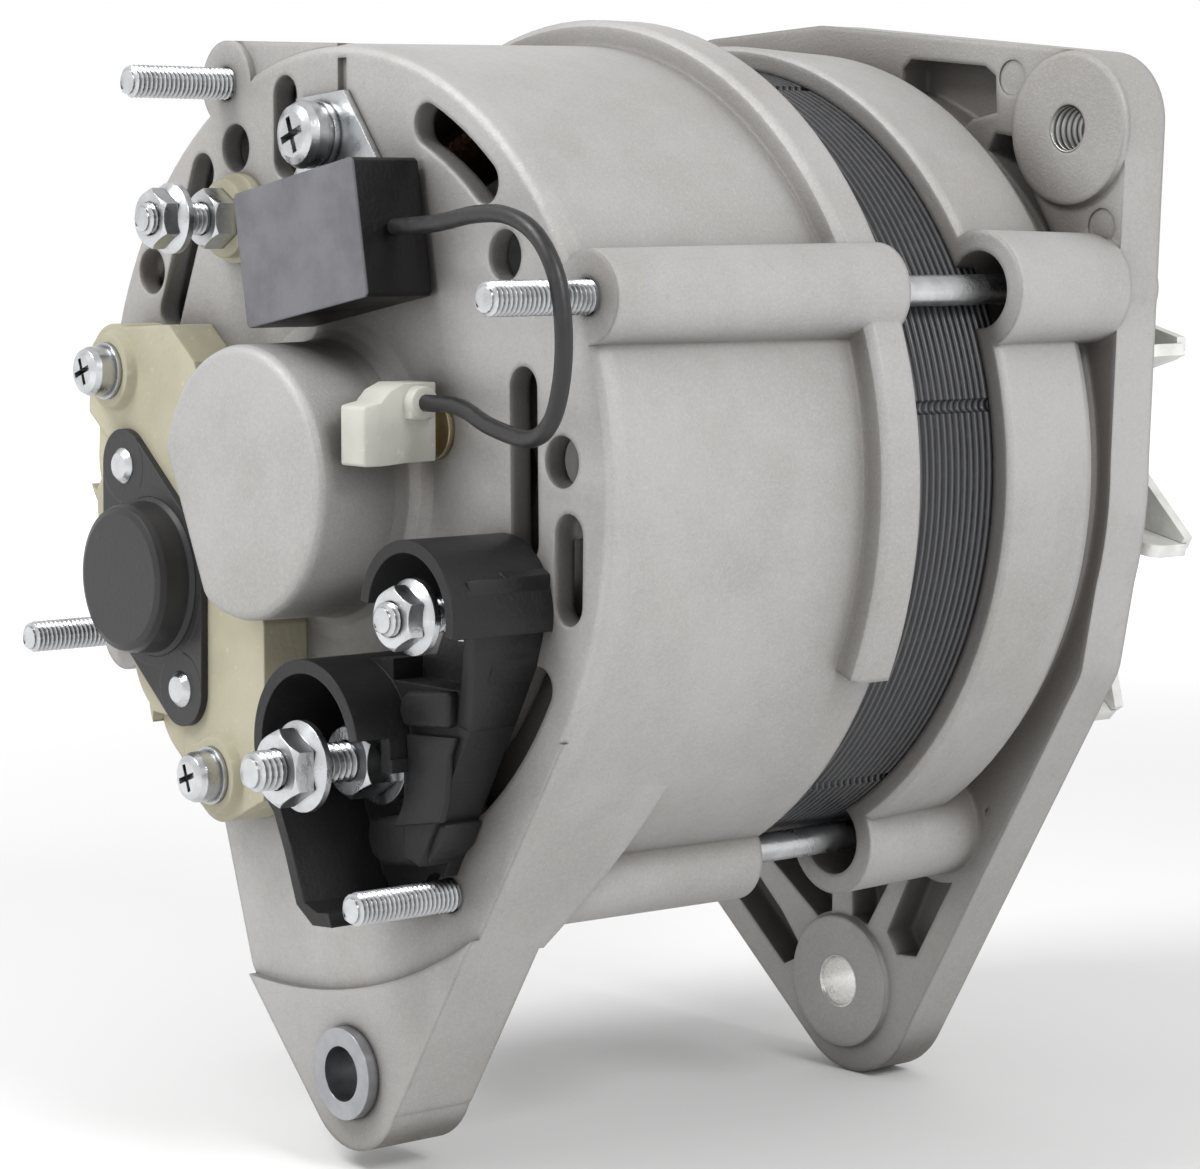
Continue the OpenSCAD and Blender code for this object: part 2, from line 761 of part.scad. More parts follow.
head_h = 3.6;
head_r = 4.6;
head_room_r = head_r + 0.4;
flange_lobe_r = head_room_r + 1;
head_seat_y = front_y - 2.6;
thread_in = 12;
thread_start_y = end_y + thread_in;

module through_bolts() color(zinc) {
    for (i = [0:3]) {
        hex_head(bolt_at(i), head_seat_y, head_seat_y + head_h, head_r);
        rod(bolt_at(i), thread_start_y, head_seat_y + eps, shank_r, shank_r, $fn = 48);
        rod(bolt_at(i), end_y - stud_out + 0.8, thread_start_y + eps, bolt_r, bolt_r,
            $fn = 48);
        rod(bolt_at(i), end_y - stud_out, end_y - stud_out + 0.8, bolt_r - 0.7, bolt_r,
            $fn = 48);
    }
}

module hex_head(p, y0, y1, r) {
    slab(y0, y1) translate(p) circle(r, $fn = 6);
}

// Bearings

rear_seat_y = hub_y + 2.6 + 1;
rear_bearing_y = rear_seat_y + rb_w / 2;
retainer_seat_y = front_y - 1.2 - fb_w;
front_bearing_y = retainer_seat_y + fb_w / 2;
ball_gap = 0.12;

// Half of the radial space between the races, and the balls' size in it
function ball_circle(r_in, r_out) = (r_in + r_out) / 2;
function ball_size(r_in, r_out) = 0.29 * (r_out - r_in);
rb_ball = ball_size(rb_in, rb_out);
fb_ball = ball_size(fb_in, fb_out);
rb_mid = ball_circle(rb_in, rb_out);
fb_mid = ball_circle(fb_in, fb_out);
race = 0.55;
rb_balls = 8;
fb_balls = 7;

module race_ring(y, w, r0, r1, mid, ball) {
    turned() difference() {
        polygon([[r0, y - w / 2], [r1, y - w / 2], [r1, y + w / 2], [r0, y + w / 2]]);
        translate([mid, y]) circle(ball + ball_gap, $fn = 64);
    }
}

module rear_bearing_outer() color(steel) {
    race_ring(rear_bearing_y, rb_w, rb_mid + race * rb_ball, rb_out, rb_mid, rb_ball);
}

module rear_bearing_inner() color(steel) {
    race_ring(rear_bearing_y, rb_w, rb_in, rb_mid - race * rb_ball, rb_mid, rb_ball);
}

module front_bearing_outer() color(steel) {
    race_ring(front_bearing_y, fb_w, fb_mid + race * fb_ball, fb_out, fb_mid, fb_ball);
}

module front_bearing_inner() color(steel) {
    race_ring(front_bearing_y, fb_w, fb_in, fb_mid - race * fb_ball, fb_mid, fb_ball);
}

module ball_set(y, mid, ball, count) {
    for (i = [0:count - 1]) {
        rotate([0, i * 360 / count, 0]) translate([mid, y, 0]) sphere(ball, $fn = 48);
    }
}

// A cage: a thin ring with a round pocket at each ball
module ball_cage(y, mid, ball, count) {
    half_t = 0.18 * ball;
    half_w = 1.25 * ball;
    difference() {
        turned() polygon([
            [mid - half_t, y - half_w], [mid + half_t, y - half_w],
            [mid + half_t, y + half_w], [mid - half_t, y + half_w]
        ]);
        for (i = [0:count - 1]) {
            rotate([0, i * 360 / count, 0]) translate([mid - ball, y, 0]) rotate([0, 90, 0])
                cylinder(h = 2 * ball, r = ball + ball_gap, $fn = 48);
        }
    }
}

module front_bearing_balls() color(zinc) ball_set(front_bearing_y, fb_mid, fb_ball, fb_balls);
module rear_bearing_balls() color(zinc) ball_set(rear_bearing_y, rb_mid, rb_ball, rb_balls);
module front_bearing_cage() color("#b08d57") ball_cage(front_bearing_y, fb_mid, fb_ball, fb_balls);
module rear_bearing_cage() color("#b08d57") ball_cage(rear_bearing_y, rb_mid, rb_ball, rb_balls);

retainer_turn = 45;
retainer_circle_r = fb_out + front_hub_wall / 2 + 0.2;
screw_r = 2;

module bearing_retainer() color(steel) {
    slab(retainer_seat_y - retainer_t, retainer_seat_y) difference() {
        circle(front_hub_r);
        circle(fb_mid + race * fb_ball + 1);
        for (i = [0:3]) {
            disc(at(retainer_turn + 90 * i, retainer_circle_r), screw_r + pass_gap);
        }
    }
}

module retainer_screws() color(zinc) {
    for (i = [0:3]) {
        pan_screw(at(retainer_turn + 90 * i, retainer_circle_r),
            retainer_seat_y - retainer_t, retainer_seat_y + 8, screw_r, 2.6, 1.8);
    }
}

// Rectifier: two plates that carry three diodes each

sink_t = 3;
sink_gap = 9;
sink_seat_y = plate_y + 3;
sink_near_r = 24;
sink_far_r = inner_r - 5;
positive_y = sink_seat_y + sink_t + sink_gap;
post_screw_r = 2;
sink_posts = [at(-2, 52), at(-96, 52)];
diode_r = 6.3;
diode_angles = [4, -42, -90];
diode_circle_r = 34;

module sink_outline(a0, a1) {
    intersection() {
        difference() {
            circle(sink_far_r);
            circle(sink_near_r);
        }
        polygon([
            [0, 0], at(a0, 90), at(a0 + (a1 - a0) / 3, 90), at(a1 - (a1 - a0) / 3, 90),
            at(a1, 90)
        ]);
    }
}

module sink_holes(lift) {
    for (p = sink_posts) {
        disc(p, post_screw_r + pass_gap);
    }
    disc(main_at, main_r + lift);
    disc(lamp_at, small_r + 2.4);
}

module negative_heat_sink() color("#9fa3a6") {
    slab(sink_seat_y, sink_seat_y + sink_t) difference() {
        sink_outline(-103, 28);
        sink_holes(2.4);
        for (a = diode_angles) {
            disc(at(a, diode_circle_r), diode_r + fit);
        }
    }
}

module positive_heat_sink() color("#9fa3a6") {
    slab(positive_y, positive_y + sink_t) difference() {
        sink_outline(-103, 28);
        sink_holes(0.1);
        for (a = diode_angles) {
            disc(at(a, diode_circle_r), diode_r + fit);
        }
    }
}

module rectifier_diodes() color(steel) {
    lead_r0 = 0.8;
    for (a = diode_angles) {
        rod(at(a, diode_circle_r), sink_seat_y, sink_seat_y + sink_t + 1.5, diode_r, diode_r,
            $fn = 48);
        rod(at(a, diode_circle_r), sink_seat_y + sink_t + 1.5 - eps, positive_y - 3.4,
            lead_r0, lead_r0, $fn = 24);
        rod(at(a, diode_circle_r), positive_y - 1.5, positive_y + sink_t, diode_r, diode_r,
            $fn = 48);
        rod(at(a, diode_circle_r), positive_y - 3, positive_y - 1.5 + eps, lead_r0, lead_r0,
            $fn = 24);
    }
}

// Screws, washers and tubes that hold the two plates apart
module sink_spacers() color(black) {
    for (p = sink_posts) {
        washer(p, sink_seat_y + sink_t, positive_y, post_screw_r + pass_gap, 4);
        pan_top(p, positive_y + sink_t);
    }
}

module pan_top(p, y) {
    rod(p, plate_y + 1.5, y + eps, post_screw_r, post_screw_r, $fn = 32);
    rod(p, y, y + 2.4, 3.8, 2.8, $fn = 32);
}

// Brush holder and regulator, drawn in their own direction: U away from the shaft, T along

screw_head_r = 3.9;
box_half_w = brush_w / 2 + 3.2;
box_near = ring_r + 1.4;
box_far = 33;
holder_y = end_y - holder_h;
ear_r = 7.4;
ear_lift = 1.5;
corner_step = 13;
rings_y = plate_y + hub_inner_h + 3;
front_ring_y = rings_y + ring_w * 1.5 + 1.4;
rear_ring_y = rings_y + ring_w / 2;
brush_rest = ring_r + seat_gap;
brush_fit = 0.1;

function along_holder(p) = [
    p.x * cos(holder_turn) - p.y * sin(holder_turn),
    p.x * sin(holder_turn) + p.y * cos(holder_turn)
];
function holder_screw_at(s) = along_holder([holder_mid, s * holder_span]);
function rivet_at(s) = along_holder([reg_mid, s * rivet_span]);
reg_at = along_holder([reg_mid, 0]);

module holder_body_outline() {
    side = hub_flat + 0.8;
    for (s = [-1, 1]) {
        link([holder_mid, s * holder_span], ear_r, [holder_mid + 4, s * 20], 10.5);
    }
    link([reg_mid + 2, -12], 10.5, [reg_mid + 2, 12], 10.5);
    polygon([
        [side, -26], [side + 4, -34], [holder_mid, -holder_span - ear_r],
        [holder_mid + 4, -20], [holder_mid + 4, 20], [holder_mid, holder_span + ear_r],
        [28, holder_span + ear_r], [side + 8, 34], [side, 17]
    ]);
}

module brush_holder() color(cream) difference() {
    union() {
        slab(holder_y + 2, end_y) rotate(holder_turn) holder_body_outline();
        slab(holder_y, holder_y + 2 + eps) rotate(holder_turn) difference() {
            holder_body_outline();
            for (s = [-1, 1]) {
                translate([holder_mid + corner_step, s * (holder_span - ear_r + 0.7)])
                    rotate(s * -28) square([9, 14], center = true);
            }
        }
        for (s = [-1, 1]) {
            rod(holder_screw_at(s), holder_y - ear_lift, holder_y + eps, ear_r - 1.6,
                ear_r - 1, $fn = 64);
        }
        // Box that carries the brushes, through the window and up to the slip rings
        slab(end_y - eps, plate_y + hub_inner_h + 0.6) rotate(holder_turn)
            translate([hub_flat + 1, -box_half_w])
            square([box_far - hub_flat - 1, 2 * box_half_w]);
        slab(plate_y + hub_inner_h + 0.6 - eps, box_front_y) rotate(holder_turn)
            translate([box_near, -box_half_w]) square([box_far - box_near, 2 * box_half_w]);
    }
    for (s = [-1, 1]) {
        rod(holder_screw_at(s), holder_y - 3, end_y + 1, screw_r + pass_gap,
            screw_r + pass_gap, $fn = 32);
    }
    for (y = [front_ring_y, rear_ring_y]) {
        slab(y - brush_t / 2 - brush_fit, y + brush_t / 2 + brush_fit) rotate(holder_turn)
            translate([box_near - 1, -brush_w / 2 - brush_fit])
            square([spring_far - box_near + 1, brush_w + 2 * brush_fit]);
    }
}

box_front_y = front_ring_y + ring_w / 2 + 1;
spring_far = box_far - 2;
spring_turns = 6;
spring_wire = 0.35;
spring_r = 1.7;

module brush(y) {
    slab(y - brush_t / 2, y + brush_t / 2) rotate(holder_turn)
        translate([brush_rest, -brush_w / 2]) square([brush_len, brush_w]);
}

module front_brush() color("#3a3633") brush(front_ring_y);
module rear_brush() color("#3a3633") brush(rear_ring_y);

// A round wire swept along a list of points, with flat ends
function unit(v) = v / norm(v);
function heading(pts, i) = unit(pts[min(i + 1, len(pts) - 1)] - pts[max(i - 1, 0)]);
function wire_ring(c, dir, up, r, sides) =
    let (side = unit(cross(dir, up)), top = cross(side, dir))
    [for (k = [0:sides - 1]) c + r * (cos(k * 360 / sides) * side + sin(k * 360 / sides) * top)];

module wire(pts, r, sides, up) {
    n = len(pts);
    rings = [for (i = [0:n - 1]) each wire_ring(pts[i], heading(pts, i), up, r, sides)];
    polyhedron(
        points = rings,
        faces = concat(
            [[for (k = [0:sides - 1]) k]],
            [[for (k = [0:sides - 1]) n * sides - 1 - k]],
            [for (i = [0:n - 2], k = [0:sides - 1]) [
                i * sides + k, (i + 1) * sides + k,
                (i + 1) * sides + (k + 1) % sides, i * sides + (k + 1) % sides
            ]]
        )
    );
}

module brush_spring(y) {
    u0 = brush_rest + brush_len + spring_wire + 0.05;
    u1 = spring_far - spring_wire - 0.05;
    steps = 10;
    total = spring_turns * steps;
    pts = [for (i = [0:total]) let (a = i * 360 / steps, u = u0 + (u1 - u0) * i / total)
        [u, spring_r * cos(a), spring_r * sin(a)]];
    rotate([0, -holder_turn, 0]) translate([0, y, 0]) wire(pts, spring_wire, 5, [1, 0, 0]);
}

module front_brush_spring() color(zinc) brush_spring(front_ring_y);
module rear_brush_spring() color(zinc) brush_spring(rear_ring_y);

plate_t = 1.2;
plate_mid_r = 14;
plate_end_r = 5.8;

module regulator_plate() color(black) {
    slab(holder_y - plate_t, holder_y) difference() {
        union() {
            disc(reg_at, plate_mid_r);
            for (s = [-1, 1]) {
                disc(rivet_at(s), plate_end_r);
                bridge(rivet_at(s), plate_end_r, reg_at, plate_mid_r);
            }
        }
        for (s = [-1, 1]) {
            disc(rivet_at(s), 1.5 + fit);
        }
    }
}

module regulator_cap() color("#1d1d20") {
    translate([reg_at.x, 0, reg_at.y]) rotate([-90, 0, 0]) rotate_extrude() polygon([
        [0, holder_y - plate_t - cap_h], [cap_r - 1.4, holder_y - plate_t - cap_h],
        [cap_r - 0.4, holder_y - plate_t - cap_h + 0.4],
        [cap_r, holder_y - plate_t - cap_h + 1.4],
        [cap_r + 0.3, holder_y - plate_t - 0.8], [cap_r + 1, holder_y - plate_t],
        [0, holder_y - plate_t]
    ]);
}

module regulator_rivets() color(zinc) {
    for (s = [-1, 1]) {
        rod(rivet_at(s), holder_y - plate_t - 0.9, holder_y - plate_t, 2, 2.9, $fn = 48);
        rod(rivet_at(s), holder_y - plate_t - eps, holder_y, 1.5, 1.5, $fn = 32);
    }
}

module regulator_screws() color(zinc) {
    for (s = [-1, 1]) {
        p = holder_screw_at(s);
        y = holder_y - ear_lift;
        washer(p, y - 0.8, y, screw_r + 0.2, screw_head_r + 0.6);
        washer(p, y - 1.8, y - 0.8, screw_r + 0.2, screw_head_r);
        pan_screw(p, y - 1.8, plate_y + 4, screw_r, screw_head_r, 2.9);
    }
}

// Capacitor, on a zinc strap

capacitor_mid = [9.1, 34.9];
capacitor_lift = 1.2;
capacitor_screw_at = [-1.2, 50.9];
cap_screw_r = 2.5;
strap_t = 1.2;
strap_w = 13;

module capacitor_body() color(black) {
    y1 = end_y - strap_t;
    edge = 0.8;
    difference() {
        slab(y1 - capacitor_d, y1) translate(capacitor_mid) rotate(capacitor_tilt) difference() {
            square([capacitor_w, capacitor_h], center = true);
            for (sx = [-1, 1], sy = [-1, 1]) {
                translate([sx * capacitor_w / 2, sy * capacitor_h / 2]) rotate(45)
                    square(edge, center = true);
            }
        }
        slab(y1 - 1.2, y1 + 1) translate(capacitor_mid) rotate(capacitor_tilt)
            square([strap_w + 0.4, capacitor_h - 6], center = true);
    }
}

module capacitor_strap() color(zinc) {
    low = capacitor_mid + [1.6, 3 - capacitor_h / 2];
    slab(end_y - strap_t, end_y) difference() {
        polygon([
            capacitor_screw_at + [-6.5, 5.5], capacitor_screw_at + [5.5, 6.5],
            capacitor_mid + [7, 8], low + [strap_w / 2, 1], low + [-strap_w / 2, -1],
            capacitor_mid + [-8, 5], capacitor_screw_at + [-6.5, -6]
        ]);
        disc(capacitor_screw_at, cap_screw_r + 0.2);
    }
}

module capacitor_screw() color(zinc) {
    y = end_y - strap_t;
    washer(capacitor_screw_at, y - 1, y, cap_screw_r + 0.2, 5);
    washer(capacitor_screw_at, y - 2.1, y - 1, cap_screw_r + 0.2, 4.6);
    pan_screw(capacitor_screw_at, y - 2.1, plate_y + 3, cap_screw_r, 5, 3.4);
}

// The lead's way from the capacitor, round the stud and back to its connector
lead_points = [
    [25.2, -131.4, 37.4], [36, -132, 38], [46, -133, 39.2], [54, -133.6, 39],
    [60.6, -134, 36.4], [64.8, -134, 31], [66.3, -134, 24], [65.6, -133.8, 17],
    [62.6, -133.2, 11.4], [57, -132.4, 8.8], [47, -131.2, 10], [40, -130.2, 12],
    [36, -130, 12.6], [33, -130, 12.6], [30.5, -130, 12.6]
];
lead_steps = 3;

function spline(p, i, t) =
    let (a = p[max(i - 1, 0)], b = p[i], c = p[i + 1], d = p[min(i + 2, len(p) - 1)])
    0.5 * (2 * b + (c - a) * t + (2 * a - 5 * b + 4 * c - d) * t * t
        + (3 * b - a - 3 * c + d) * t * t * t);

function smooth(p, steps) = concat(
    [for (i = [0:len(p) - 2], s = [0:steps - 1]) spline(p, i, s / steps)],
    [p[len(p) - 1]]
);

module capacitor_lead() color(black) wire(smooth(lead_points, lead_steps), lead_r, 8, [0, 1, 0]);

// Flag connector on a spade that stands out of the end plate

spade_at = [25, 8.4];
connector_w = 6.6;
connector_h = 9.4;
connector_len = 13.5;
connector_y = end_y - 1.5;
spade_w = 6.3;
spade_t = 0.8;
spade_foot_r = 4.4;
spade_neck_r = 3;
connector_side = spade_at.x + connector_w / 2;
boot_len = 2.2;

module spade_terminal() color("#c8b878") {
    slab(connector_y - connector_len + 3, end_y - 1) translate(spade_at)
        square([spade_t, spade_w], center = true);
    rod(spade_at, end_y - 1 - eps, end_y, spade_foot_r, spade_foot_r, $fn = 32);
    rod(spade_at, end_y - eps, plate_y, spade_neck_r, spade_neck_r, $fn = 32);
}

module connector_housing() color("#e8e6e0") difference() {
    union() {
        slab(connector_y - connector_len, connector_y - 1) translate(spade_at) difference() {
            square([connector_w, connector_h], center = true);
            for (sx = [-1, 1], sy = [-1, 1]) {
                translate([sx * connector_w / 2, sy * connector_h / 2]) rotate(45)
                    square(1.2, center = true);
            }
        }
        slab(end_y - 9, end_y - 3) translate([connector_side - 1, spade_at.y + 1.6])
            square([boot_len + 1, 5.4]);
    }
    slab(connector_y - connector_len + 2, connector_y) translate(spade_at)
        square([spade_t + 0.3, spade_w + 0.3], center = true);
}

// Terminal block round the main and lamp studs

guard_y = end_y - guard_h;
base_y = end_y - base_t;
block_h = 8;
block_y = end_y - block_h;
cavity_r = 11;
guard_wall = 2;
main_guard_at = [main_x + 0.7, main_z + 2.5];
hood_r = 9;
stud_room_r = 6.2;

module block_base_outline() {
    polygon([
        [5, -40], [9, -29], [16, -25], [28, -24], [33, -14], [34, -8], [44, -6.6],
        [51, -10.6], [51, -14], [48, -24], [43, -33], [36, -45], [29, -57], [24, -61.6],
        [18, -62], [12, -53]
    ]);
}

// Wall of the cavity round the main stud, down to its cable way
module cavity_wall_outline() {
    difference() {
        union() {
            disc(main_guard_at, cavity_r + guard_wall);
            polygon([
                [main_guard_at.x - cavity_r - guard_wall, main_guard_at.y],
                [11, -53], [14, -60.5], [18, -63], [26, -62.4], [29.5, -58], [30, -38]
            ]);
        }
        cavity_outline();
    }
}

module cavity_outline() {
    disc(main_guard_at, cavity_r);
    polygon([
        [main_guard_at.x - cavity_r, main_guard_at.y], [12.6, -52], [16, -60],
        [19, -61], [24.4, -60.4], [27.4, -56], [main_guard_at.x + cavity_r, -38]
    ]);
}

module terminal_block() color(black) difference() {
    union() {
        slab(base_y, end_y) block_base_outline();
        slab(block_y, end_y) difference() {
            block_base_outline();
            cavity_outline();
            disc(lamp_at, hood_r);
            polygon([lamp_at, lamp_at + [-16, 8], lamp_at + [-16, -11], lamp_at + [2, -11]]);
        }
        slab(block_y - 4, end_y) difference() {
            cavity_wall_outline();
            polygon([[23, -62], [23, -40], [40, -40], [40, -66]]);
        }
        slab(guard_y, end_y) difference() {
            cavity_wall_outline();
            polygon([
                main_guard_at, main_guard_at + [30, 6], [40, -66], [25.5, -66], [21, -50]
            ]);
        }
        slab(guard_y, end_y) difference() {
            disc(lamp_at, hood_r + guard_wall - 0.2);
            disc(lamp_at, hood_r);
            polygon([
                lamp_at + [-14, 2], lamp_at + [0, 0], lamp_at + [14, -3], [60, -40], [10, -40]
            ]);
        }
        // Label pad, left bare
        slab(block_y - 0.8, block_y + eps) polygon([
            [30.6, -34.6], [39.2, -34.2], [36.4, -45], [31, -45.6]
        ]);
    }
    rod(main_at, guard_y - 1, end_y + 1, main_r + 0.6, main_r + 0.6, $fn = 48);
    rod(lamp_at, guard_y - 1, end_y + 1, small_r + 0.5, small_r + 0.5, $fn = 48);
    rod(bolt_at(3), guard_y - 1, end_y + 1, bolt_r + 1, bolt_r + 1, $fn = 48);
    rod(bolt_at(3), guard_y - 1, base_y, stud_room_r, stud_room_r, $fn = 64);
}

// Studs and nuts

main_af = 10;
main_tail = 4.7;
main_tip_y = end_y - 27;
lamp_tip_y = end_y - 22;
phase_tip_y = end_y - 18.5;
washer_t = 1.6;
main_seat_y = base_y - washer_t;
lamp_seat_y = base_y - washer_t;
insulator_h = 3.6;
phase_seat_y = end_y - insulator_h;

module stud(p, tip_y, y1, r) {
    rod(p, tip_y, tip_y + 0.8, r - 0.7, r, $fn = 48);
    rod(p, tip_y + 0.8 - eps, y1, r, r, $fn = 48);
}

module main_stud() color(zinc) {
    stud(main_at, main_tip_y, positive_y + sink_t + eps, main_r);
    rod(main_at, positive_y + sink_t, positive_y + sink_t + 3, 5.2, 5.2, $fn = 48);
}

module main_nuts() color(zinc) {
    washer(main_at, main_seat_y, base_y, main_r + 0.2, 7);
    hex_nut(main_at, main_seat_y - 5.6, main_seat_y, main_af, main_r + thread_fit);
    flange_nut(main_at, main_tip_y + main_tail, main_tip_y + main_tail + 5.3, main_af, 6.7,
        main_r + thread_fit);
}

module lamp_stud() color(zinc) {
    stud(lamp_at, lamp_tip_y, positive_y + sink_t + eps, small_r);
    rod(lamp_at, positive_y + sink_t, positive_y + sink_t + 2.4, 4.2, 4.2, $fn = 48);
}

module lamp_nuts() color(zinc) {
    washer(lamp_at, lamp_seat_y, base_y, small_r + 0.2, 5.4);
    hex_nut(lamp_at, lamp_seat_y - 4, lamp_seat_y, 8, small_r + thread_fit);
    flange_nut(lamp_at, lamp_tip_y + 1.8, lamp_tip_y + 6.4, 8, 5.4, small_r + thread_fit);
}

module phase_stud() color(zinc) {
    stud(phase_at, phase_tip_y, plate_y + 6 + eps, small_r);
    rod(phase_at, plate_y + 2, plate_y + 6, 4.2, 4.2, $fn = 48);
}

module phase_nuts() color(zinc) {
    hex_nut(phase_at, phase_seat_y - 4, phase_seat_y, 8, small_r + thread_fit);
    flange_nut(phase_at, phase_tip_y + 1.6, phase_tip_y + 6.2, 8, 5.4, small_r + thread_fit);
}

module phase_insulator() color("#cdbf72") difference() {
    union() {
        rod(phase_at, phase_seat_y, end_y - 1.6, 6, 6, $fn = 48);
        rod(phase_at, end_y - 1.6, end_y, 6.9, 6.9, $fn = 48);
        rod(phase_at, end_y - eps, plate_y + 1, small_r + 1.8, small_r + 1.8, $fn = 48);
        rod(phase_at, plate_y, plate_y + 2, 6, 6, $fn = 48);
    }
    rod(phase_at, phase_seat_y - 1, plate_y + 3, small_r + 0.1, small_r + 0.1, $fn = 48);
}

// Rotor

claw_r = stator_bore_r - air_gap;
claw_pairs = 6;
claw_turn = 7;
rotor_front_y = mid_y + coil_w / 2 + claw_disc_t;
rotor_rear_y = mid_y - coil_w / 2 - claw_disc_t;
rotor_shaft_r = fb_in + 0.5;

// One finger, drawn in the plane of the shaft: thick at its root and thin at its tip
module claw_finger(side) {
    intersection() {
        turned() polygon([
            [claw_r - claw_t - 3, mid_y + side * (coil_w / 2 + claw_disc_t)],
            [claw_r - 1.5, mid_y + side * (coil_w / 2 + claw_disc_t)],
            [claw_r, mid_y + side * (coil_w / 2 + claw_disc_t - 1.5)],
            [claw_r, mid_y - side * (coil_w / 2 + claw_disc_t - 4)],
            [claw_r - claw_tip_t, mid_y - side * (coil_w / 2 + claw_disc_t - 4)],
            [claw_r - claw_t - 0.5, mid_y + side * (coil_w / 2 + 0.6)],
            [claw_r - claw_t - 3, mid_y + side * (coil_w / 2 + 2)]
        ]);
        finger_wedge(side);
    }
}

// The finger narrows towards its tip, as seen from outside
module finger_wedge(side) {
    root_half = 11.5;
    tip_half = 4.6;
    y_root = mid_y + side * (coil_w / 2 + claw_disc_t + 1);
    y_taper = mid_y + side * (coil_w / 2 + 3);
    y_tip = mid_y - side * (coil_w / 2 + claw_disc_t + 1);
    linear_extrude(claw_r + 10) polygon([
        [-root_half, y_root], [-root_half, y_taper], [-tip_half, y_tip], [tip_half, y_tip],
        [root_half, y_taper], [root_half, y_root]
    ]);
}

module claw_pole(side, turn) {
    disc_far = mid_y + side * (coil_w / 2 + claw_disc_t);
    disc_near = mid_y + side * coil_w / 2;
    difference() {
        union() {
            for (i = [0:claw_pairs - 1]) {
                rotate([0, turn + i * 360 / claw_pairs, 0]) claw_finger(side);
            }
            turned() polygon([
                [0, disc_far], [claw_r - claw_t + 0.5, disc_far],
                [claw_r - claw_t + 0.5, disc_near], [claw_core_r, disc_near],
                [claw_core_r, mid_y], [0, mid_y]
            ]);
        }
        turned() polygon([
            [0, disc_far + side], [rotor_shaft_r + fit, disc_far + side],
            [rotor_shaft_r + fit, mid_y - side], [0, mid_y - side]
        ]);
    }
}

module front_claw_pole() color("#6f7277") claw_pole(1, claw_turn);
module rear_claw_pole() color("#6f7277") claw_pole(-1, claw_turn + 180 / claw_pairs);

bobbin_t = 1.2;
coil_r = claw_r - claw_t - 1.2;

module coil_bobbin() color("#e3dccb") {
    y0 = mid_y - coil_w / 2 + seat_gap / 3;
    y1 = mid_y + coil_w / 2 - seat_gap / 3;
    near = claw_core_r + 0.1;
    turned() polygon([
        [near, y0], [coil_r, y0], [coil_r, y0 + bobbin_t], [near + bobbin_t, y0 + bobbin_t],
        [near + bobbin_t, y1 - bobbin_t], [coil_r, y1 - bobbin_t], [coil_r, y1], [near, y1]
    ]);
}

module field_coil() color(copper) {
    half = coil_w / 2 - seat_gap / 3 - bobbin_t - 0.05;
    near = claw_core_r + 0.1 + bobbin_t + 0.05;
    far = coil_r - 0.6;
    turned() polygon([
        [near, mid_y - half], [far - 1, mid_y - half], [far, mid_y - half + 1],
        [far, mid_y + half - 1], [far - 1, mid_y + half], [near, mid_y + half]
    ]);
}

sleeve_r = ring_r - 2;
sleeve_y0 = rings_y - 1;
sleeve_y1 = front_ring_y + ring_w / 2 + 2;

module slip_ring_sleeve() color("#5a2a1c") difference() {
    union() {
        rod([0, 0], sleeve_y0, sleeve_y1, sleeve_r, sleeve_r);
        rod([0, 0], rear_ring_y + ring_w / 2, front_ring_y - ring_w / 2, ring_r - 0.4,
            ring_r - 0.4);
    }
    rod([0, 0], sleeve_y0 - 1, sleeve_y1 + 1, rb_seat_r + 1 + fit, rb_seat_r + 1 + fit);
}

module slip_rings() color("#b8743a") {
    for (y = [front_ring_y, rear_ring_y]) {
        difference() {
            rod([0, 0], y - ring_w / 2, y + ring_w / 2, ring_r, ring_r);
            rod([0, 0], y - ring_w, y + ring_w, sleeve_r + fit, sleeve_r + fit);
        }
    }
}

rb_seat_r = rb_in;
seat_drop = 0.5;
shaft_tip_y = seat_len + thread_len;

module rotor_shaft() color(steel) {
    turned() polygon([
        [0, rear_seat_y + 0.6], [rb_seat_r - 1, rear_seat_y + 0.6],
        [rb_seat_r, rear_seat_y + 1.6], [rb_seat_r, rear_seat_y + rb_w],
        [rb_seat_r + 1, rear_seat_y + rb_w], [rb_seat_r + 1, sleeve_y1],
        [rotor_shaft_r + 2, sleeve_y1], [rotor_shaft_r + 2, rotor_rear_y],
        [rotor_shaft_r, rotor_rear_y], [rotor_shaft_r, rotor_front_y],
        [rotor_shaft_r + 2, rotor_front_y], [rotor_shaft_r + 2, retainer_seat_y],
        [fb_in, retainer_seat_y], [fb_in, -seat_drop], [seat_r, -seat_drop], [seat_r, seat_len],
        [thread_r, seat_len], [thread_r, shaft_tip_y - 1.2], [thread_r - 1.2, shaft_tip_y],
        [0, shaft_tip_y]
    ]);
}

module bearing_spacer() color(steel) {
    y0 = retainer_seat_y + fb_w;
    difference() {
        rod([0, 0], y0, -fan_t, fb_mid - race * fb_ball, fb_mid - race * fb_ball);
        rod([0, 0], y0 - 1, 1, fb_in + fit, fb_in + fit);
    }
}

// Fan: a pressed disc whose outer tabs are bent back into round-ended blades

fan_disc_r = 48;
fan_hub_r = 40;
blade_turn = -13;
blade_inset = 1;
tooth_turn = 14;

// One tooth of the disc, whose straight side carries a blade
module fan_tooth() {
    polygon([
        [fan_hub_r, -blade_inset], [fan_r - 2.5, -blade_inset], [fan_r - 0.6, 1 - blade_inset],
        [fan_r, 3 - blade_inset], at(tooth_turn, fan_disc_r), at(tooth_turn / 2, fan_hub_r)
    ]);
}

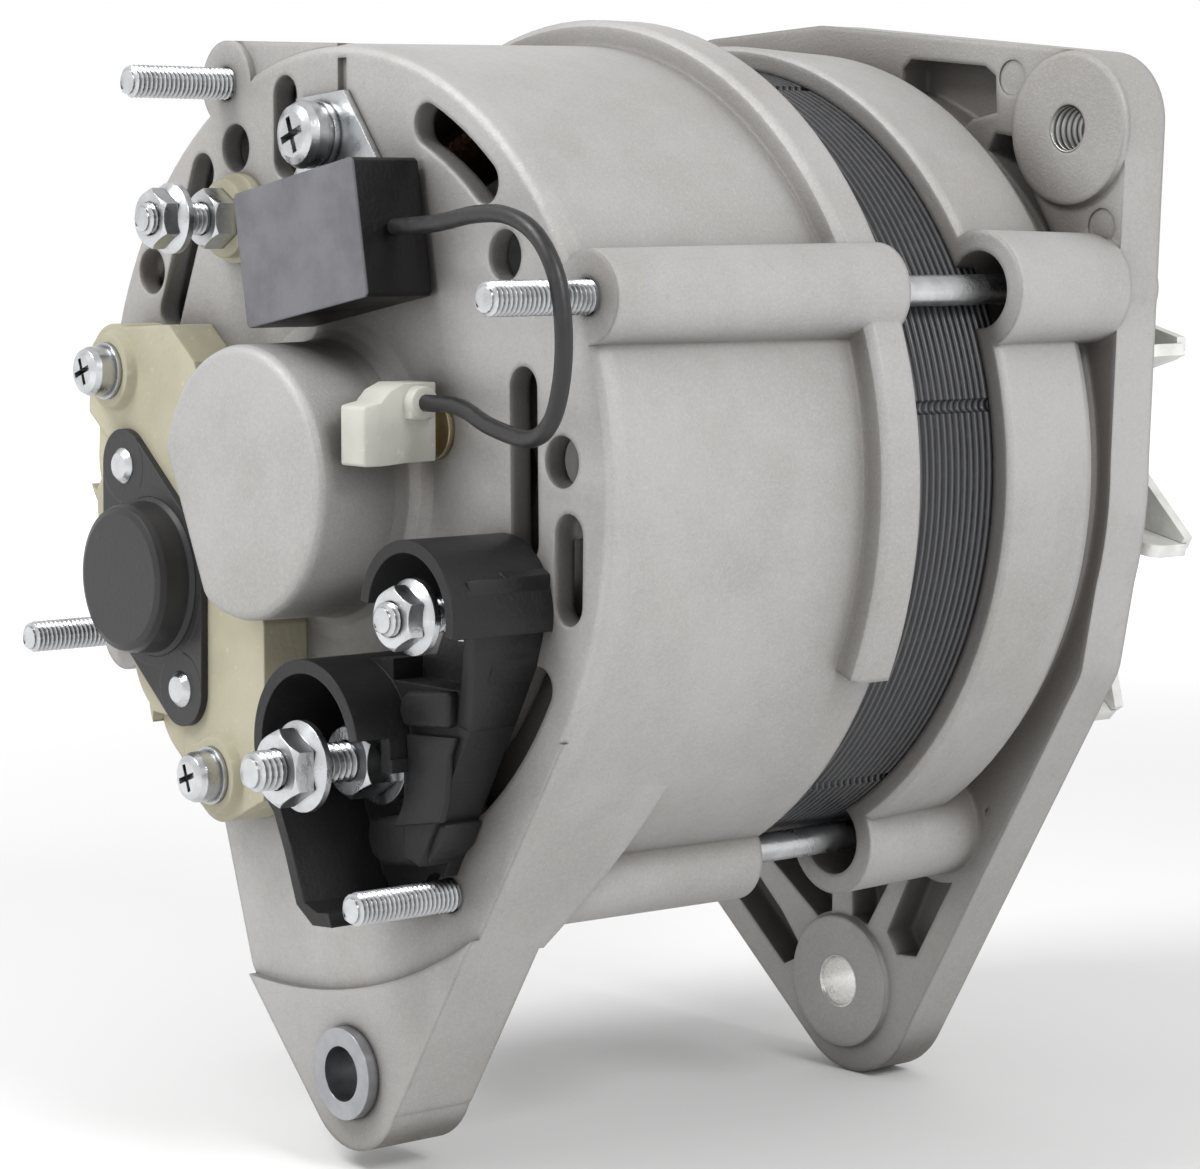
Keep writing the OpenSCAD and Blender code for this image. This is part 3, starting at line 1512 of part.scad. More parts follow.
// A blade, bent back from the tooth's straight side, with its outer corner rounded
module fan_blade() {
    corner = 2.6;
    translate([0, 0, -blade_inset]) linear_extrude(fan_t) {
        polygon([
            [fan_hub_r, -fan_t / 2], [fan_r, -fan_t / 2], [fan_r, corner - blade_w],
            [fan_r - corner, -blade_w], [fan_hub_r + blade_w, -blade_w],
            [fan_hub_r, -fan_t - 1]
        ]);
        disc([fan_r - corner, corner - blade_w], corner - sliver);
    }
}

module fan() color(zinc) difference() {
    union() {
        slab(-fan_t, 0) {
            circle(fan_disc_r);
            for (i = [0:fan_blades - 1]) {
                rotate(blade_turn + i * 360 / fan_blades) fan_tooth();
            }
        }
        for (i = [0:fan_blades - 1]) {
            rotate([0, -blade_turn - i * 360 / fan_blades, 0]) fan_blade();
        }
    }
    rod([0, 0], -fan_t - 1, 1, fb_in + fit, fb_in + fit);
}

rear_bracket();
drive_end_bracket();
pivot_bush();
stator_core();
stator_winding();
through_bolts();
rear_bearing_outer();
front_bearing_outer();
bearing_retainer();
retainer_screws();
positive_heat_sink();
negative_heat_sink();
rectifier_diodes();
sink_spacers();
brush_holder();
regulator_plate();
regulator_cap();
regulator_rivets();
regulator_screws();
capacitor_body();
capacitor_strap();
capacitor_screw();
capacitor_lead();
connector_housing();
spade_terminal();
terminal_block();
main_stud();
main_nuts();
lamp_stud();
lamp_nuts();
phase_stud();
phase_nuts();
phase_insulator();
rotor_shaft();
front_claw_pole();
rear_claw_pole();
field_coil();
coil_bobbin();
slip_ring_sleeve();
slip_rings();
front_bearing_inner();
rear_bearing_inner();
front_bearing_balls();
front_bearing_cage();
rear_bearing_balls();
rear_bearing_cage();
bearing_spacer();
fan();
front_brush();
rear_brush();
front_brush_spring();
rear_brush_spring();
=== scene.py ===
"""An alternator with an outside fan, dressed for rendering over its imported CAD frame."""

import json
import math

import bpy
from bpy.props import FloatProperty, FloatVectorProperty, PointerProperty
from mathutils import Matrix, Vector


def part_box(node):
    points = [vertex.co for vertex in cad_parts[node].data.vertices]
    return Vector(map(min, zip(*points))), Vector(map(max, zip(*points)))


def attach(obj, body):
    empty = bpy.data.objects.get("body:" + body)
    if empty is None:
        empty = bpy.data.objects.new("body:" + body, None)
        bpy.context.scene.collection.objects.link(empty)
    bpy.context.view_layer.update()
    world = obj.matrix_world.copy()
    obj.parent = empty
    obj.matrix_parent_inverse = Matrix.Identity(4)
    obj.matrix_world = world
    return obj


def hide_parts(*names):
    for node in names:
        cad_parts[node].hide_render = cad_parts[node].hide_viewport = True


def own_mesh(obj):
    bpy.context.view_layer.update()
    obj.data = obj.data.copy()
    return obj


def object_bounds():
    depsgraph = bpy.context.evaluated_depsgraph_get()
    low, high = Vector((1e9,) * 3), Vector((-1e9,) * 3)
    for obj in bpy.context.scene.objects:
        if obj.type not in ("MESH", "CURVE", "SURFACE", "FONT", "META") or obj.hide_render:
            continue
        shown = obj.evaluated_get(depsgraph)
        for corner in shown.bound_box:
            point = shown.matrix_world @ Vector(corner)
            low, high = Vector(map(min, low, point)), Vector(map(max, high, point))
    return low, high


bl_info = {
    "name": "Alternator Dressing",
    "version": (1, 0, 0),
    "blender": (4, 5, 0),
    "location": "View3D > Sidebar > Alternator",
    "description": "Finishes, small formed pieces and the studio of an alternator",
    "category": "Object",
}

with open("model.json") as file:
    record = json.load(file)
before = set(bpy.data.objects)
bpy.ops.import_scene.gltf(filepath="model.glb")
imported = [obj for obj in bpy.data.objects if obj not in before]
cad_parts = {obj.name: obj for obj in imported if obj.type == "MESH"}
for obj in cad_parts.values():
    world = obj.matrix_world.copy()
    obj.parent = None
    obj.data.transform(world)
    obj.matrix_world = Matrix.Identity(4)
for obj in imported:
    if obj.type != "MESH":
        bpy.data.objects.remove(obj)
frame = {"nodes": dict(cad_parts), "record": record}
CAD_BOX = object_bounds()

# The camera that the photograph was taken with, solved from the object's own circles
EYE = Vector((0.43602, -0.43579, 0.03877))
AZIMUTH = math.radians(50.195)
ELEVATION = math.radians(5.855)
LENS_PX = 3580.0
FRAME_PX = (1200, 1169)
SENSOR_MM = 36

# The adjuster's threaded hole, in the plane across the shaft
ADJUSTER = (0.0548, 0.0524)
ADJUSTER_R = 0.0034
ADJUSTER_PITCH = 0.00125

# The pivot hole through both brackets
PIVOT = (0.005, -0.0895)
PIVOT_R = 0.0042

# The shaft's thread, past the pulley seat
SHAFT_THREAD_Y = 0.0222
SHAFT_PITCH = 0.0015

# A dark and a bright band of the stator's laminations together
LAMINATION = 0.00132

# The rear end face, and the through bolts' circle and thread
END_Y = -0.124
BOLT_CIRCLE = 0.0655
BOLT_ANGLES = [math.radians(25.3 + 90 * i) for i in range(4)]
BOLT_R = 0.0025
BOLT_HEAD_R = 0.0046
BOLT_THREAD_IN = 0.012

# How far a thread's cut end stays inside its node's box, and how far joined bars overlap
TIP = 0.0001
LAP = 0.0001

# A V thread's depth, as a share of its pitch
THREAD_DEPTH = 0.58

# The brush springs: the holder's direction, the wire's first and last middle from the shaft,
# and the coil's radius, its wire's radius and its number of turns
HOLDER_TURN = math.radians(205)
SPRING_NEAR, SPRING_FAR = 0.0247, 0.0306
SPRING_R, SPRING_WIRE, SPRING_TURNS = 0.0017, 0.00035, 6

# The terminal block's height, and its added forms in millimetres: the outer wall's inner and
# outer edge and its height at each place, then outlines across the shaft
BLOCK_HEIGHT = 0.008
BLOCK_WALL = (
    (48.3, -11.4, 51.1, -10.4, 14.6), (48.6, -14.6, 51.2, -14.0, 13.8),
    (46.3, -20.2, 49.1, -21.0, 11.8), (43.0, -26.6, 46.2, -27.6, 9.8),
    (40.0, -32.4, 43.1, -33.1, 8.1),
)
BLOCK_FOOT = (
    (17.6, -48.6), (17.1, -51.5), (18.1, -53.8), (20.7, -55.0), (30.5, -53.9),
    (34.0, -51.0), (36.2, -47.2), (30, -46),
)
BLOCK_PAD = (
    (29.6, -34.6), (40.8, -33.9), (39.5, -36.6), (39.1, -40), (38.8, -43.2),
    (37.6, -46.4), (26.2, -48.4), (28.2, -45.6), (29.4, -42.4), (29.9, -38.6),
)
BLOCK_STEP = (
    (29.6, -33.4), (28.6, -31.4), (29.0, -29.4), (30.6, -28.2), (40.4, -27.4), (40, -32.6),
)

# The flag connector's right side, and its neck's radius and length inside the boot
BOOT_RIGHT = 0.0283
NECK_R = 0.0024
NECK_IN = 0.0014

# The capacitor's lead: its radius, and its way to the connector
LEAD_R = 0.00125
LEAD_POINTS = [
    tuple(v / 1000 for v in point) for point in (
        (25.2, -131.4, 37.4), (36, -132, 38), (46, -133, 39.2), (54, -133.6, 39),
        (60.6, -134, 36.4), (64.8, -134, 31), (66.3, -134, 24), (65.6, -133.8, 17),
        (62.6, -133.2, 11.4), (57, -132.4, 8.8), (47, -131.2, 10), (40, -130.2, 12),
        (36, -130, 12.6), (33, -130, 12.6), (30.5, -130, 12.6),
    )
]


def tint(colour, share, lift=0.0):
    """A colour made darker or lighter, by one share or by one for each channel."""
    shares = share if isinstance(share, tuple) else (share,) * 3
    return tuple(c * s + lift for c, s in zip(colour, shares))


# Shader maths


class Wire:
    """A socket that can be used in sums."""

    def __init__(self, graph, socket):
        self.graph = graph
        self.socket = socket

    def call(self, operation, *others):
        """Any operation of the Math node, such as SINE or ARCTAN2."""
        return self.graph.node(
            "ShaderNodeMath", {"operation": operation}, dict(enumerate((self, *others)))
        )

    def __add__(self, other):
        return self.call("ADD", other)

    __radd__ = __add__

    def __sub__(self, other):
        return self.call("SUBTRACT", other)

    def __rsub__(self, other):
        return self.graph.node(
            "ShaderNodeMath", {"operation": "SUBTRACT"}, {0: other, 1: self}
        )

    def __mul__(self, other):
        return self.call("MULTIPLY", other)

    __rmul__ = __mul__

    def __truediv__(self, other):
        return self.call("DIVIDE", other)

    def __pow__(self, other):
        return self.call("POWER", other)


class Graph:
    """The node tree of a material, or of the world."""

    def __init__(self, name, owners="materials", shader="Principled BSDF"):
        self.owner = getattr(bpy.data, owners).new(name)
        self.owner.use_nodes = True
        self.tree = self.owner.node_tree
        self.shader = self.tree.nodes[shader]

    def node(self, kind, settings=None, sockets=None, out=0):
        """Adds a node, sets it and its sockets' values or links, and returns one output."""
        made = self.tree.nodes.new(kind)
        for key, value in (settings or {}).items():
            setattr(made, key, value)
        for key, value in (sockets or {}).items():
            self.join(value, made.inputs[key])
        return Wire(self, made.outputs[out])

    def join(self, value, socket):
        """Links a wire to a socket, or sets the socket's own value."""
        if isinstance(value, Wire):
            self.tree.links.new(value.socket, socket)
        elif isinstance(value, (tuple, list)) and len(value) == 3 and socket.type == "RGBA":
            socket.default_value = (*value, 1)
        else:
            socket.default_value = value

    def place(self):
        """The point on the surface, in the object's own metres."""
        return self.node("ShaderNodeTexCoord", out=3)

    def noise(self, scale, detail=3.0, roughness=0.55):
        """Noise between 0 and 1, whose grains are about 1 / scale metres."""
        return self.node(
            "ShaderNodeTexNoise", {"noise_dimensions": "3D"},
            {"Vector": self.place(), "Scale": scale, "Detail": detail, "Roughness": roughness},
        )

    def ramp(self, fac, low, high, out=(0.0, 1.0)):
        """A smooth step of fac from low to high."""
        return self.node(
            "ShaderNodeMapRange", {"interpolation_type": "SMOOTHSTEP"},
            {"Value": fac, "From Min": low, "From Max": high, "To Min": out[0], "To Max": out[1]},
        )

    def blend(self, fac, a, b):
        """A colour between a and b."""
        return self.node(
            "ShaderNodeMix", {"data_type": "RGBA"}, {0: fac, 6: a, 7: b}, out=2
        )

    def bump(self, height, distance, edge=0.0002):
        """A bump in metres, over edges that are rounded to a radius."""
        rounded = self.node("ShaderNodeBevel", {"samples": 6}, {"Radius": edge})
        return self.node(
            "ShaderNodeBump", None, {"Height": height, "Distance": distance, "Normal": rounded}
        )

    def hollow_shade(self, reach=0.012):
        """A mask for painted shade: 1 in corners and hollows within reach, and 0 in the open."""
        open_sky = self.node(
            "ShaderNodeAmbientOcclusion", {"samples": 6}, {"Distance": reach}, out=1
        )
        return self.ramp(open_sky, 0.97, 0.4)

    def axes(self):
        """The point's X, Y and Z on the surface."""
        split = self.tree.nodes.new("ShaderNodeSeparateXYZ")
        self.join(self.place(), split.inputs[0])
        return [Wire(self, split.outputs[i]) for i in range(3)]

    def from_line(self, axes, x, z):
        """Distance from a line along the shaft's direction, through x and z in metres."""
        dx, dz = axes[0] - x, axes[2] - z
        return (dx * dx + dz * dz).call("SQRT")

    def winding(self, axes, pitch, x=0.0, z=0.0):
        """1 on the crests and 0 in the roots of a thread wound about such a line."""
        turn = (axes[2] - z).call("ARCTAN2", axes[0] - x) / math.tau
        return ((axes[1] / pitch + turn) * math.tau).call("SINE") * 0.5 + 0.5

    def finish(self, **sockets):
        """Sets the shader's sockets, whose names are written with underscores for spaces."""
        for key, value in sockets.items():
            self.join(value, self.shader.inputs[key.replace("_", " ")])
        return self.owner


def cast_metal(name, colour, shade, grain):
    """Blasted die-cast aluminium: fine grit, faint brown patches, painted brown shade in its
    corners and hollows, and the two worked holes.
    """
    g = Graph(name)
    axes = g.axes()
    cloud = g.noise(22, 4, 0.6)
    patch = g.noise(60, 4, 0.65)
    grit = g.noise(2400, 2, 0.7)
    fine = g.noise(700, 4, 0.7)
    base = g.blend(g.ramp(cloud, 0.35, 0.68), shade, colour)
    base = g.blend(g.ramp(patch, 0.54, 0.74) * 0.4, base, tint(colour, (0.9, 0.82, 0.76)))
    base = g.blend(g.ramp(grit, 0.35, 0.8) * 0.2, base, tint(colour, 1.5))
    base = g.blend(g.ramp(fine, 0.62, 0.8) * 0.3, base, tint(shade, 0.6))
    # Painted shade: corners and hollows that see little open sky are made darker and browner
    base = g.blend(g.hollow_shade() * 0.82, base, tint(shade, (0.3, 0.27, 0.25)))
    # The adjuster's thread, cut in the ear, with painted shade in its roots
    bore = g.ramp(g.from_line(axes, *ADJUSTER), ADJUSTER_R + 0.0004, ADJUSTER_R + 0.0001)
    crests = g.winding(axes, ADJUSTER_PITCH, *ADJUSTER)
    base = g.blend(bore, base, g.blend(crests, (0.05, 0.05, 0.048), (0.6, 0.6, 0.58)))
    # The reamed pivot hole
    reamed = g.ramp(g.from_line(axes, *PIVOT), PIVOT_R + 0.0003, PIVOT_R + 0.0001)
    base = g.blend(reamed, base, (0.8, 0.79, 0.77))
    grain_height = (grit * 0.55 + fine * 0.45) * grain
    height = grain_height * (1 - bore) + crests * bore * 0.0005
    return g.finish(
        Base_Color=base, Metallic=bore * 0.6 + reamed * 0.65 + 0.3,
        Roughness=g.ramp(fine, 0.3, 0.7, (0.5, 0.64)) - bore * 0.2 - reamed * 0.32,
        Normal=g.bump(height, 1.0, 0.0013),
    )


def plated(name, colour, rough=0.24, metal=1.0, shade_reach=0.0009):
    """Plated or bright metal, with faint tumbling marks and painted shade in its thread roots and
    corners.
    """
    g = Graph(name)
    cloud = g.noise(240, 3)
    fine = g.noise(1800, 2)
    mark = g.noise(90, 5, 0.7)
    base = g.blend(g.ramp(cloud, 0.3, 0.7), tint(colour, 0.8), colour)
    base = g.blend(g.ramp(mark, 0.58, 0.75) * 0.5, base, tint(colour, 0.55))
    # Painted shade: thread roots and corners that see little open sky are made nearly black
    base = g.blend(g.hollow_shade(shade_reach) * 0.9, base, tint(colour, 0.1))
    return g.finish(
        Base_Color=base, Metallic=metal,
        Roughness=g.ramp(cloud, 0.25, 0.75, (rough, rough + 0.12)),
        Normal=g.bump(fine, 0.000035),
    )


def shaft_steel(name):
    """Ground steel, with a thread past the pulley seat and painted shade in its roots."""
    g = Graph(name)
    axes = g.axes()
    cloud = g.noise(300, 3)
    lathe = (axes[1] * 9000).call("SINE") * 0.5 + 0.5
    past = g.ramp(axes[1], SHAFT_THREAD_Y, SHAFT_THREAD_Y + 0.0004)
    crests = g.winding(axes, SHAFT_PITCH)
    base = g.blend(g.ramp(cloud, 0.3, 0.7), (0.4, 0.41, 0.43), (0.5, 0.51, 0.53))
    # Painted shade in the thread's roots
    base = g.blend(past * (1 - crests) * 0.8, base, (0.08, 0.08, 0.085))
    return g.finish(
        Base_Color=base, Metallic=1.0, Roughness=g.ramp(cloud, 0.25, 0.75, (0.26, 0.38)),
        Normal=g.bump(lathe * 0.00001 + crests * past * 0.0005, 1.0),
    )


def moulded(name, colour, rough=0.42, grain=0.00006, scale=1500, edge=0.0003):
    """Moulded plastic with a slightly uneven sheen."""
    g = Graph(name)
    cloud = g.noise(60, 3)
    fine = g.noise(scale, 2)
    fleck = g.noise(500, 2, 0.7)
    base = g.blend(g.ramp(cloud, 0.3, 0.7), tint(colour, 0.82), colour)
    base = g.blend(g.ramp(fleck, 0.62, 0.72) * 0.4, base, tint(colour, 1.25, 0.004))
    return g.finish(
        Base_Color=base, Roughness=g.ramp(cloud, 0.3, 0.7, (rough - 0.05, rough + 0.08)),
        Specular_IOR_Level=0.3, Normal=g.bump(fine, grain, edge),
    )


def potted(name):
    """A capacitor's black case, with a grey resin face on its rear."""
    g = Graph(name)
    axes = g.axes()
    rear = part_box("capacitor_body")[0][1]
    face = g.ramp(axes[1], rear + 0.0004, rear + 0.0001)
    cloud = g.noise(120, 4, 0.6)
    fine = g.noise(1600, 2)
    resin = g.blend(g.ramp(cloud, 0.3, 0.7), (0.105, 0.105, 0.115), (0.15, 0.15, 0.162))
    base = g.blend(face, (0.004, 0.004, 0.0045), resin)
    return g.finish(
        Base_Color=base, Roughness=g.ramp(cloud, 0.3, 0.7, (0.34, 0.46)) + face * 0.1,
        Specular_IOR_Level=0.3, Normal=g.bump(fine, 0.00005, 0.0005),
    )


def rubbered(name):
    """The capacitor's insulated lead."""
    g = Graph(name)
    fine = g.noise(900, 3)
    base = g.blend(fine, (0.006, 0.006, 0.007), (0.018, 0.018, 0.02))
    return g.finish(
        Base_Color=base, Roughness=g.ramp(fine, 0.3, 0.7, (0.36, 0.5)),
        Normal=g.bump(fine, 0.00003),
    )


def laminated(name):
    """Varnished stator laminations, in bands along the shaft."""
    g = Graph(name)
    wobble = g.noise(60, 2)
    wave = (g.axes()[1] * (math.tau / LAMINATION) + wobble * 0.7).call("SINE") * 0.5 + 0.5
    fine = g.noise(700, 3)
    base = g.blend(wave ** 2.0, (0.026, 0.027, 0.029), (0.105, 0.106, 0.112))
    base = g.blend(g.ramp(fine, 0.5, 0.8) * 0.25, base, (0.1, 0.1, 0.1))
    return g.finish(
        Base_Color=base, Metallic=0.4, Roughness=g.ramp(fine, 0.3, 0.7, (0.34, 0.5)),
        Normal=g.bump(wave, 0.00035),
    )


def wound(name, colour):
    """Enamelled copper turns."""
    g = Graph(name)
    cloud = g.noise(900, 3)
    base = g.blend(g.ramp(cloud, 0.3, 0.7), tint(colour, 0.5), colour)
    return g.finish(Base_Color=base, Metallic=0.6, Roughness=0.35, Normal=g.bump(cloud, 0.0006))


FINISHES = {}


def finishes():
    """The part's materials, by the record's material slots and by node where one differs."""
    if not FINISHES:
        look = bpy.context.scene.alternator_looks
        FINISHES.update(
            cast_aluminium=cast_metal(
                "cast_aluminium", tuple(look.casting), tuple(look.casting_shade), look.grain
            ),
            zinc_steel=plated("zinc_plate", tuple(look.plate)),
            steel=plated("ground_steel", (0.42, 0.43, 0.45), 0.3),
            rotor_shaft=shaft_steel("shaft_steel"),
            fan=plated("pressed_fan", (0.74, 0.74, 0.71), 0.42, 0.25, 0.0002),
            laminated_steel=laminated("stator_laminations"),
            copper=wound("enamelled_copper", (0.2, 0.08, 0.035)),
            tinned_brass=plated("tinned_brass", (0.6, 0.52, 0.32), 0.3),
            black_plastic=moulded("black_moulding", (0.014, 0.014, 0.015), 0.44),
            capacitor_body=potted("capacitor_resin"),
            capacitor_lead=rubbered("lead_insulation"),
            black_metal=moulded("black_enamel", (0.03, 0.03, 0.032), 0.38, 0.00003),
            cream_plastic=moulded("cream_moulding", tuple(look.cream), 0.5, 0.00009, 900, 0.0006),
            white_plastic=moulded("nylon", (0.5, 0.5, 0.45), 0.42),
            brown_plastic=moulded("phenolic", (0.09, 0.04, 0.025), 0.4),
            carbon=moulded("pressed_carbon", (0.02, 0.02, 0.02), 0.55),
        )
    return FINISHES


class AlternatorLooks(bpy.types.PropertyGroup):
    """Colours and sizes that a user would change."""

    casting: FloatVectorProperty(
        name="Casting", description="Colour of the blasted aluminium", subtype="COLOR",
        default=(0.392, 0.386, 0.38), min=0, max=1,
    )
    casting_shade: FloatVectorProperty(
        name="Casting shade", description="Darker colour in the aluminium's clouding",
        subtype="COLOR", default=(0.325, 0.316, 0.304), min=0, max=1,
    )
    plate: FloatVectorProperty(
        name="Zinc plate", description="Colour of the fasteners", subtype="COLOR",
        default=(0.62, 0.635, 0.65), min=0, max=1,
    )
    cream: FloatVectorProperty(
        name="Cream moulding", description="Colour of the brush holder", subtype="COLOR",
        default=(0.42, 0.395, 0.29), min=0, max=1,
    )
    bolt_head: FloatProperty(
        name="Bolt head", description="Height of a through bolt's head", subtype="DISTANCE",
        unit="LENGTH", default=0.0036, min=0.001, max=0.006,
    )
    bolt_pitch: FloatProperty(
        name="Bolt pitch", description="Pitch of the 5 mm threads", subtype="DISTANCE",
        unit="LENGTH", default=0.0008, min=0.0004, max=0.002,
    )
    main_pitch: FloatProperty(
        name="Main stud pitch", description="Pitch of the 6 mm thread", subtype="DISTANCE",
        unit="LENGTH", default=0.001, min=0.0004, max=0.002,
    )
    grain: FloatProperty(
        name="Grain", description="Depth of the casting's grain", subtype="DISTANCE",
        unit="LENGTH", default=0.00012, min=0, max=0.001,
    )


class Piece:
    """What the operators share."""

    bl_options = {"REGISTER", "UNDO"}

    @classmethod
    def poll(cls, context):
        return bool(frame["nodes"])


class ALTERNATOR_OT_finishes(Piece, bpy.types.Operator):
    """Give every CAD node the finish of its material slot"""

    bl_idname = "alternator.finishes"
    bl_label = "Finish the Solids"

    def execute(self, context):
        slots = {s["node"]: s["material_slot"] for s in frame["record"]["subparts"]}
        for name, node in frame["nodes"].items():
            material = finishes().get(name) or finishes()[slots[name]]
            if not node.material_slots:
                node.data.materials.append(material)
            for slot in node.material_slots:
                slot.material = material
        return {"FINISHED"}


# Modelling by hand, in small steps


def add(kind, **how):
    """Adds a primitive with nothing else selected, and returns its object."""
    bpy.ops.object.select_all(action="DESELECT")
    getattr(bpy.ops.mesh, "primitive_" + kind + "_add")(**how)
    return bpy.context.object


def edit(piece, step):
    """Runs a step in edit mode on all of a piece's mesh."""
    bpy.context.view_layer.objects.active = piece
    bpy.ops.object.mode_set(mode="EDIT")
    bpy.ops.mesh.select_all(action="SELECT")
    step()
    bpy.ops.object.mode_set(mode="OBJECT")


def pick(piece, inside):
    """Selects the vertices that a test on their place accepts, and nothing else."""
    mesh = piece.data
    for part in (mesh.vertices, mesh.edges, mesh.polygons):
        part.foreach_set("select", [False] * len(part))
    for vertex in mesh.vertices:
        vertex.select = inside(vertex.co)


def take(piece):
    """Selects an object alone."""
    bpy.ops.object.select_all(action="DESELECT")
    piece.select_set(True)
    bpy.context.view_layer.objects.active = piece


def settle():
    """Puts the selected object's place and turn into its mesh."""
    bpy.ops.object.transform_apply(location=True, rotation=True, scale=True)


def bar(radius, start, stop, sides=32, bevel=0.0):
    """A round or six-sided bar along the shaft's direction, with rounded rims."""
    piece = add(
        "cylinder", vertices=sides, radius=radius, depth=stop - start,
        location=(0, (start + stop) / 2, 0), rotation=(math.pi / 2, 0, 0),
    )
    settle()
    if bevel:
        round_off(piece, bevel, 2)
    return piece


def thread(radius, pitch, start, stop):
    """A right-handed thread along the shaft's direction: a V wound up, cut flat at both ends."""
    piece = add("circle", vertices=3, radius=radius)
    mesh = piece.data
    pick(piece, lambda co: False)
    mesh.edges[-1].select = True
    bpy.ops.object.mode_set(mode="EDIT")
    bpy.ops.mesh.select_mode(type="EDGE")
    bpy.ops.mesh.delete(type="EDGE")
    bpy.ops.mesh.select_mode(type="VERT")
    bpy.ops.object.mode_set(mode="OBJECT")
    ends = [v for v in range(3) if sum(v in e.vertices for e in mesh.edges) == 1]
    crest = ({0, 1, 2} - set(ends)).pop()
    root = radius - THREAD_DEPTH * pitch
    corners = ((ends[0], root, -1.5), (crest, radius, -1), (ends[1], root, -0.5))
    for vertex, reach, turns in corners:
        mesh.vertices[vertex].co = (reach, start + turns * pitch, 0)
    settle()
    bpy.ops.object.modifier_add(type="SCREW")
    wind = piece.modifiers[-1]
    wind.axis = "Y"
    wind.steps = wind.render_steps = 16
    wind.screw_offset = pitch
    wind.iterations = math.ceil((stop - start) / pitch) + 3
    bpy.ops.object.modifier_apply(modifier=wind.name)

    def trim():
        bpy.ops.mesh.remove_doubles(threshold=pitch * 0.01)
        for place, way in ((start, -1), (stop, 1)):
            bpy.ops.mesh.select_all(action="SELECT")
            bpy.ops.mesh.bisect(
                plane_co=(0, place, 0), plane_no=(0, way, 0), use_fill=True, clear_outer=True
            )
        bpy.ops.mesh.select_all(action="SELECT")
        bpy.ops.mesh.normals_make_consistent(inside=False)

    edit(piece, trim)
    # The first turns are chamfered
    for depth, narrow in ((0.35, 0.86), (0.8, 0.93)):
        pick(piece, lambda co: co.y < start + depth * pitch)
        bpy.ops.object.mode_set(mode="EDIT")
        bpy.ops.transform.resize(value=(narrow, 1, narrow), center_override=(0, start, 0))
        bpy.ops.object.mode_set(mode="OBJECT")
    return piece


def join(pieces, name):
    """Joins pieces into one, whose place is in its mesh."""
    bpy.ops.object.select_all(action="DESELECT")
    for piece in pieces:
        piece.select_set(True)
    bpy.context.view_layer.objects.active = pieces[0]
    bpy.ops.object.join()
    whole = bpy.context.object
    whole.name = whole.data.name = name
    settle()
    bpy.ops.object.shade_smooth_by_angle(angle=math.radians(38))
    return whole


def copy_to(piece, name, x, z):
    """A copy with its own mesh, moved across the shaft."""
    take(piece)
    bpy.ops.object.duplicate(linked=False)
    twin = bpy.context.object
    twin.name = twin.data.name = name
    move(twin, x, z)
    return twin


def move(piece, x, z):
    """Moves a finished piece across the shaft, in its mesh."""
    take(piece)
    bpy.ops.transform.translate(value=(x, 0, z))
    settle()


def fit_out(piece, body, slot, material, *nodes):
    """Gives a new piece its finish and body, and hides the nodes it stands for."""
    piece.data.materials.clear()
    piece.data.materials.append(finishes()[material])
    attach(piece, body)
    if nodes:
        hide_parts(*nodes)


def pad(outline, front, back, bevel=0.0004, rings=2):
    """A plate across the shaft, from an outline in millimetres, with rounded rims."""
    piece = add("circle", vertices=len(outline), radius=0.01, fill_type="NGON")
    for vertex, (x, z) in zip(piece.data.vertices, outline):
        vertex.co = (x / 1000, back, z / 1000)

    def raise_up():
        bpy.ops.mesh.extrude_region_move(TRANSFORM_OT_translate={"value": (0, front - back, 0)})
        bpy.ops.mesh.select_all(action="SELECT")
        bpy.ops.mesh.normals_make_consistent(inside=False)

    edit(piece, raise_up)
    round_off(piece, bevel, rings)
    return piece


def fin(stations):
    """A four-sided form, from its corners at each place along it, in millimetres."""
    piece = add("circle", vertices=4, radius=0.01, fill_type="NGON")
    for vertex, place in zip(piece.data.vertices, stations[0]):
        vertex.co = Vector(place) / 1000
    for corners in stations[1:]:
        bpy.ops.object.mode_set(mode="EDIT")
        bpy.ops.mesh.extrude_region_move()
        bpy.ops.object.mode_set(mode="OBJECT")
        for vertex, place in zip([v for v in piece.data.vertices if v.select], corners):
            vertex.co = Vector(place) / 1000
    edit(piece, lambda: bpy.ops.mesh.normals_make_consistent(inside=False))
    round_off(piece, 0.0005, 2)
    return piece


def round_off(piece, width, rings):
    """Rounds a piece's sharp edges to a width."""
    bpy.context.view_layer.objects.active = piece
    bpy.ops.object.modifier_add(type="BEVEL")
    rim = piece.modifiers[-1]
    rim.width = width
    rim.segments = rings
    rim.limit_method = "ANGLE"
    rim.angle_limit = math.radians(35)
    bpy.ops.object.modifier_apply(modifier=rim.name)


def tube(name, places, radius, rings):
    """A curve through places, as a tube with closed ends."""
    route = bpy.data.curves.new(name, "CURVE")
    route.dimensions = "3D"
    route.bevel_depth = radius
    route.bevel_resolution = rings
    route.use_fill_caps = True
    line = route.splines.new("POLY")
    line.points.add(len(places) - 1)
    for point, place in zip(line.points, places):
        point.co = (*place, 1)
    line.use_smooth = True
    made = bpy.data.objects.new(name, route)
    bpy.context.collection.objects.link(made)
    return made


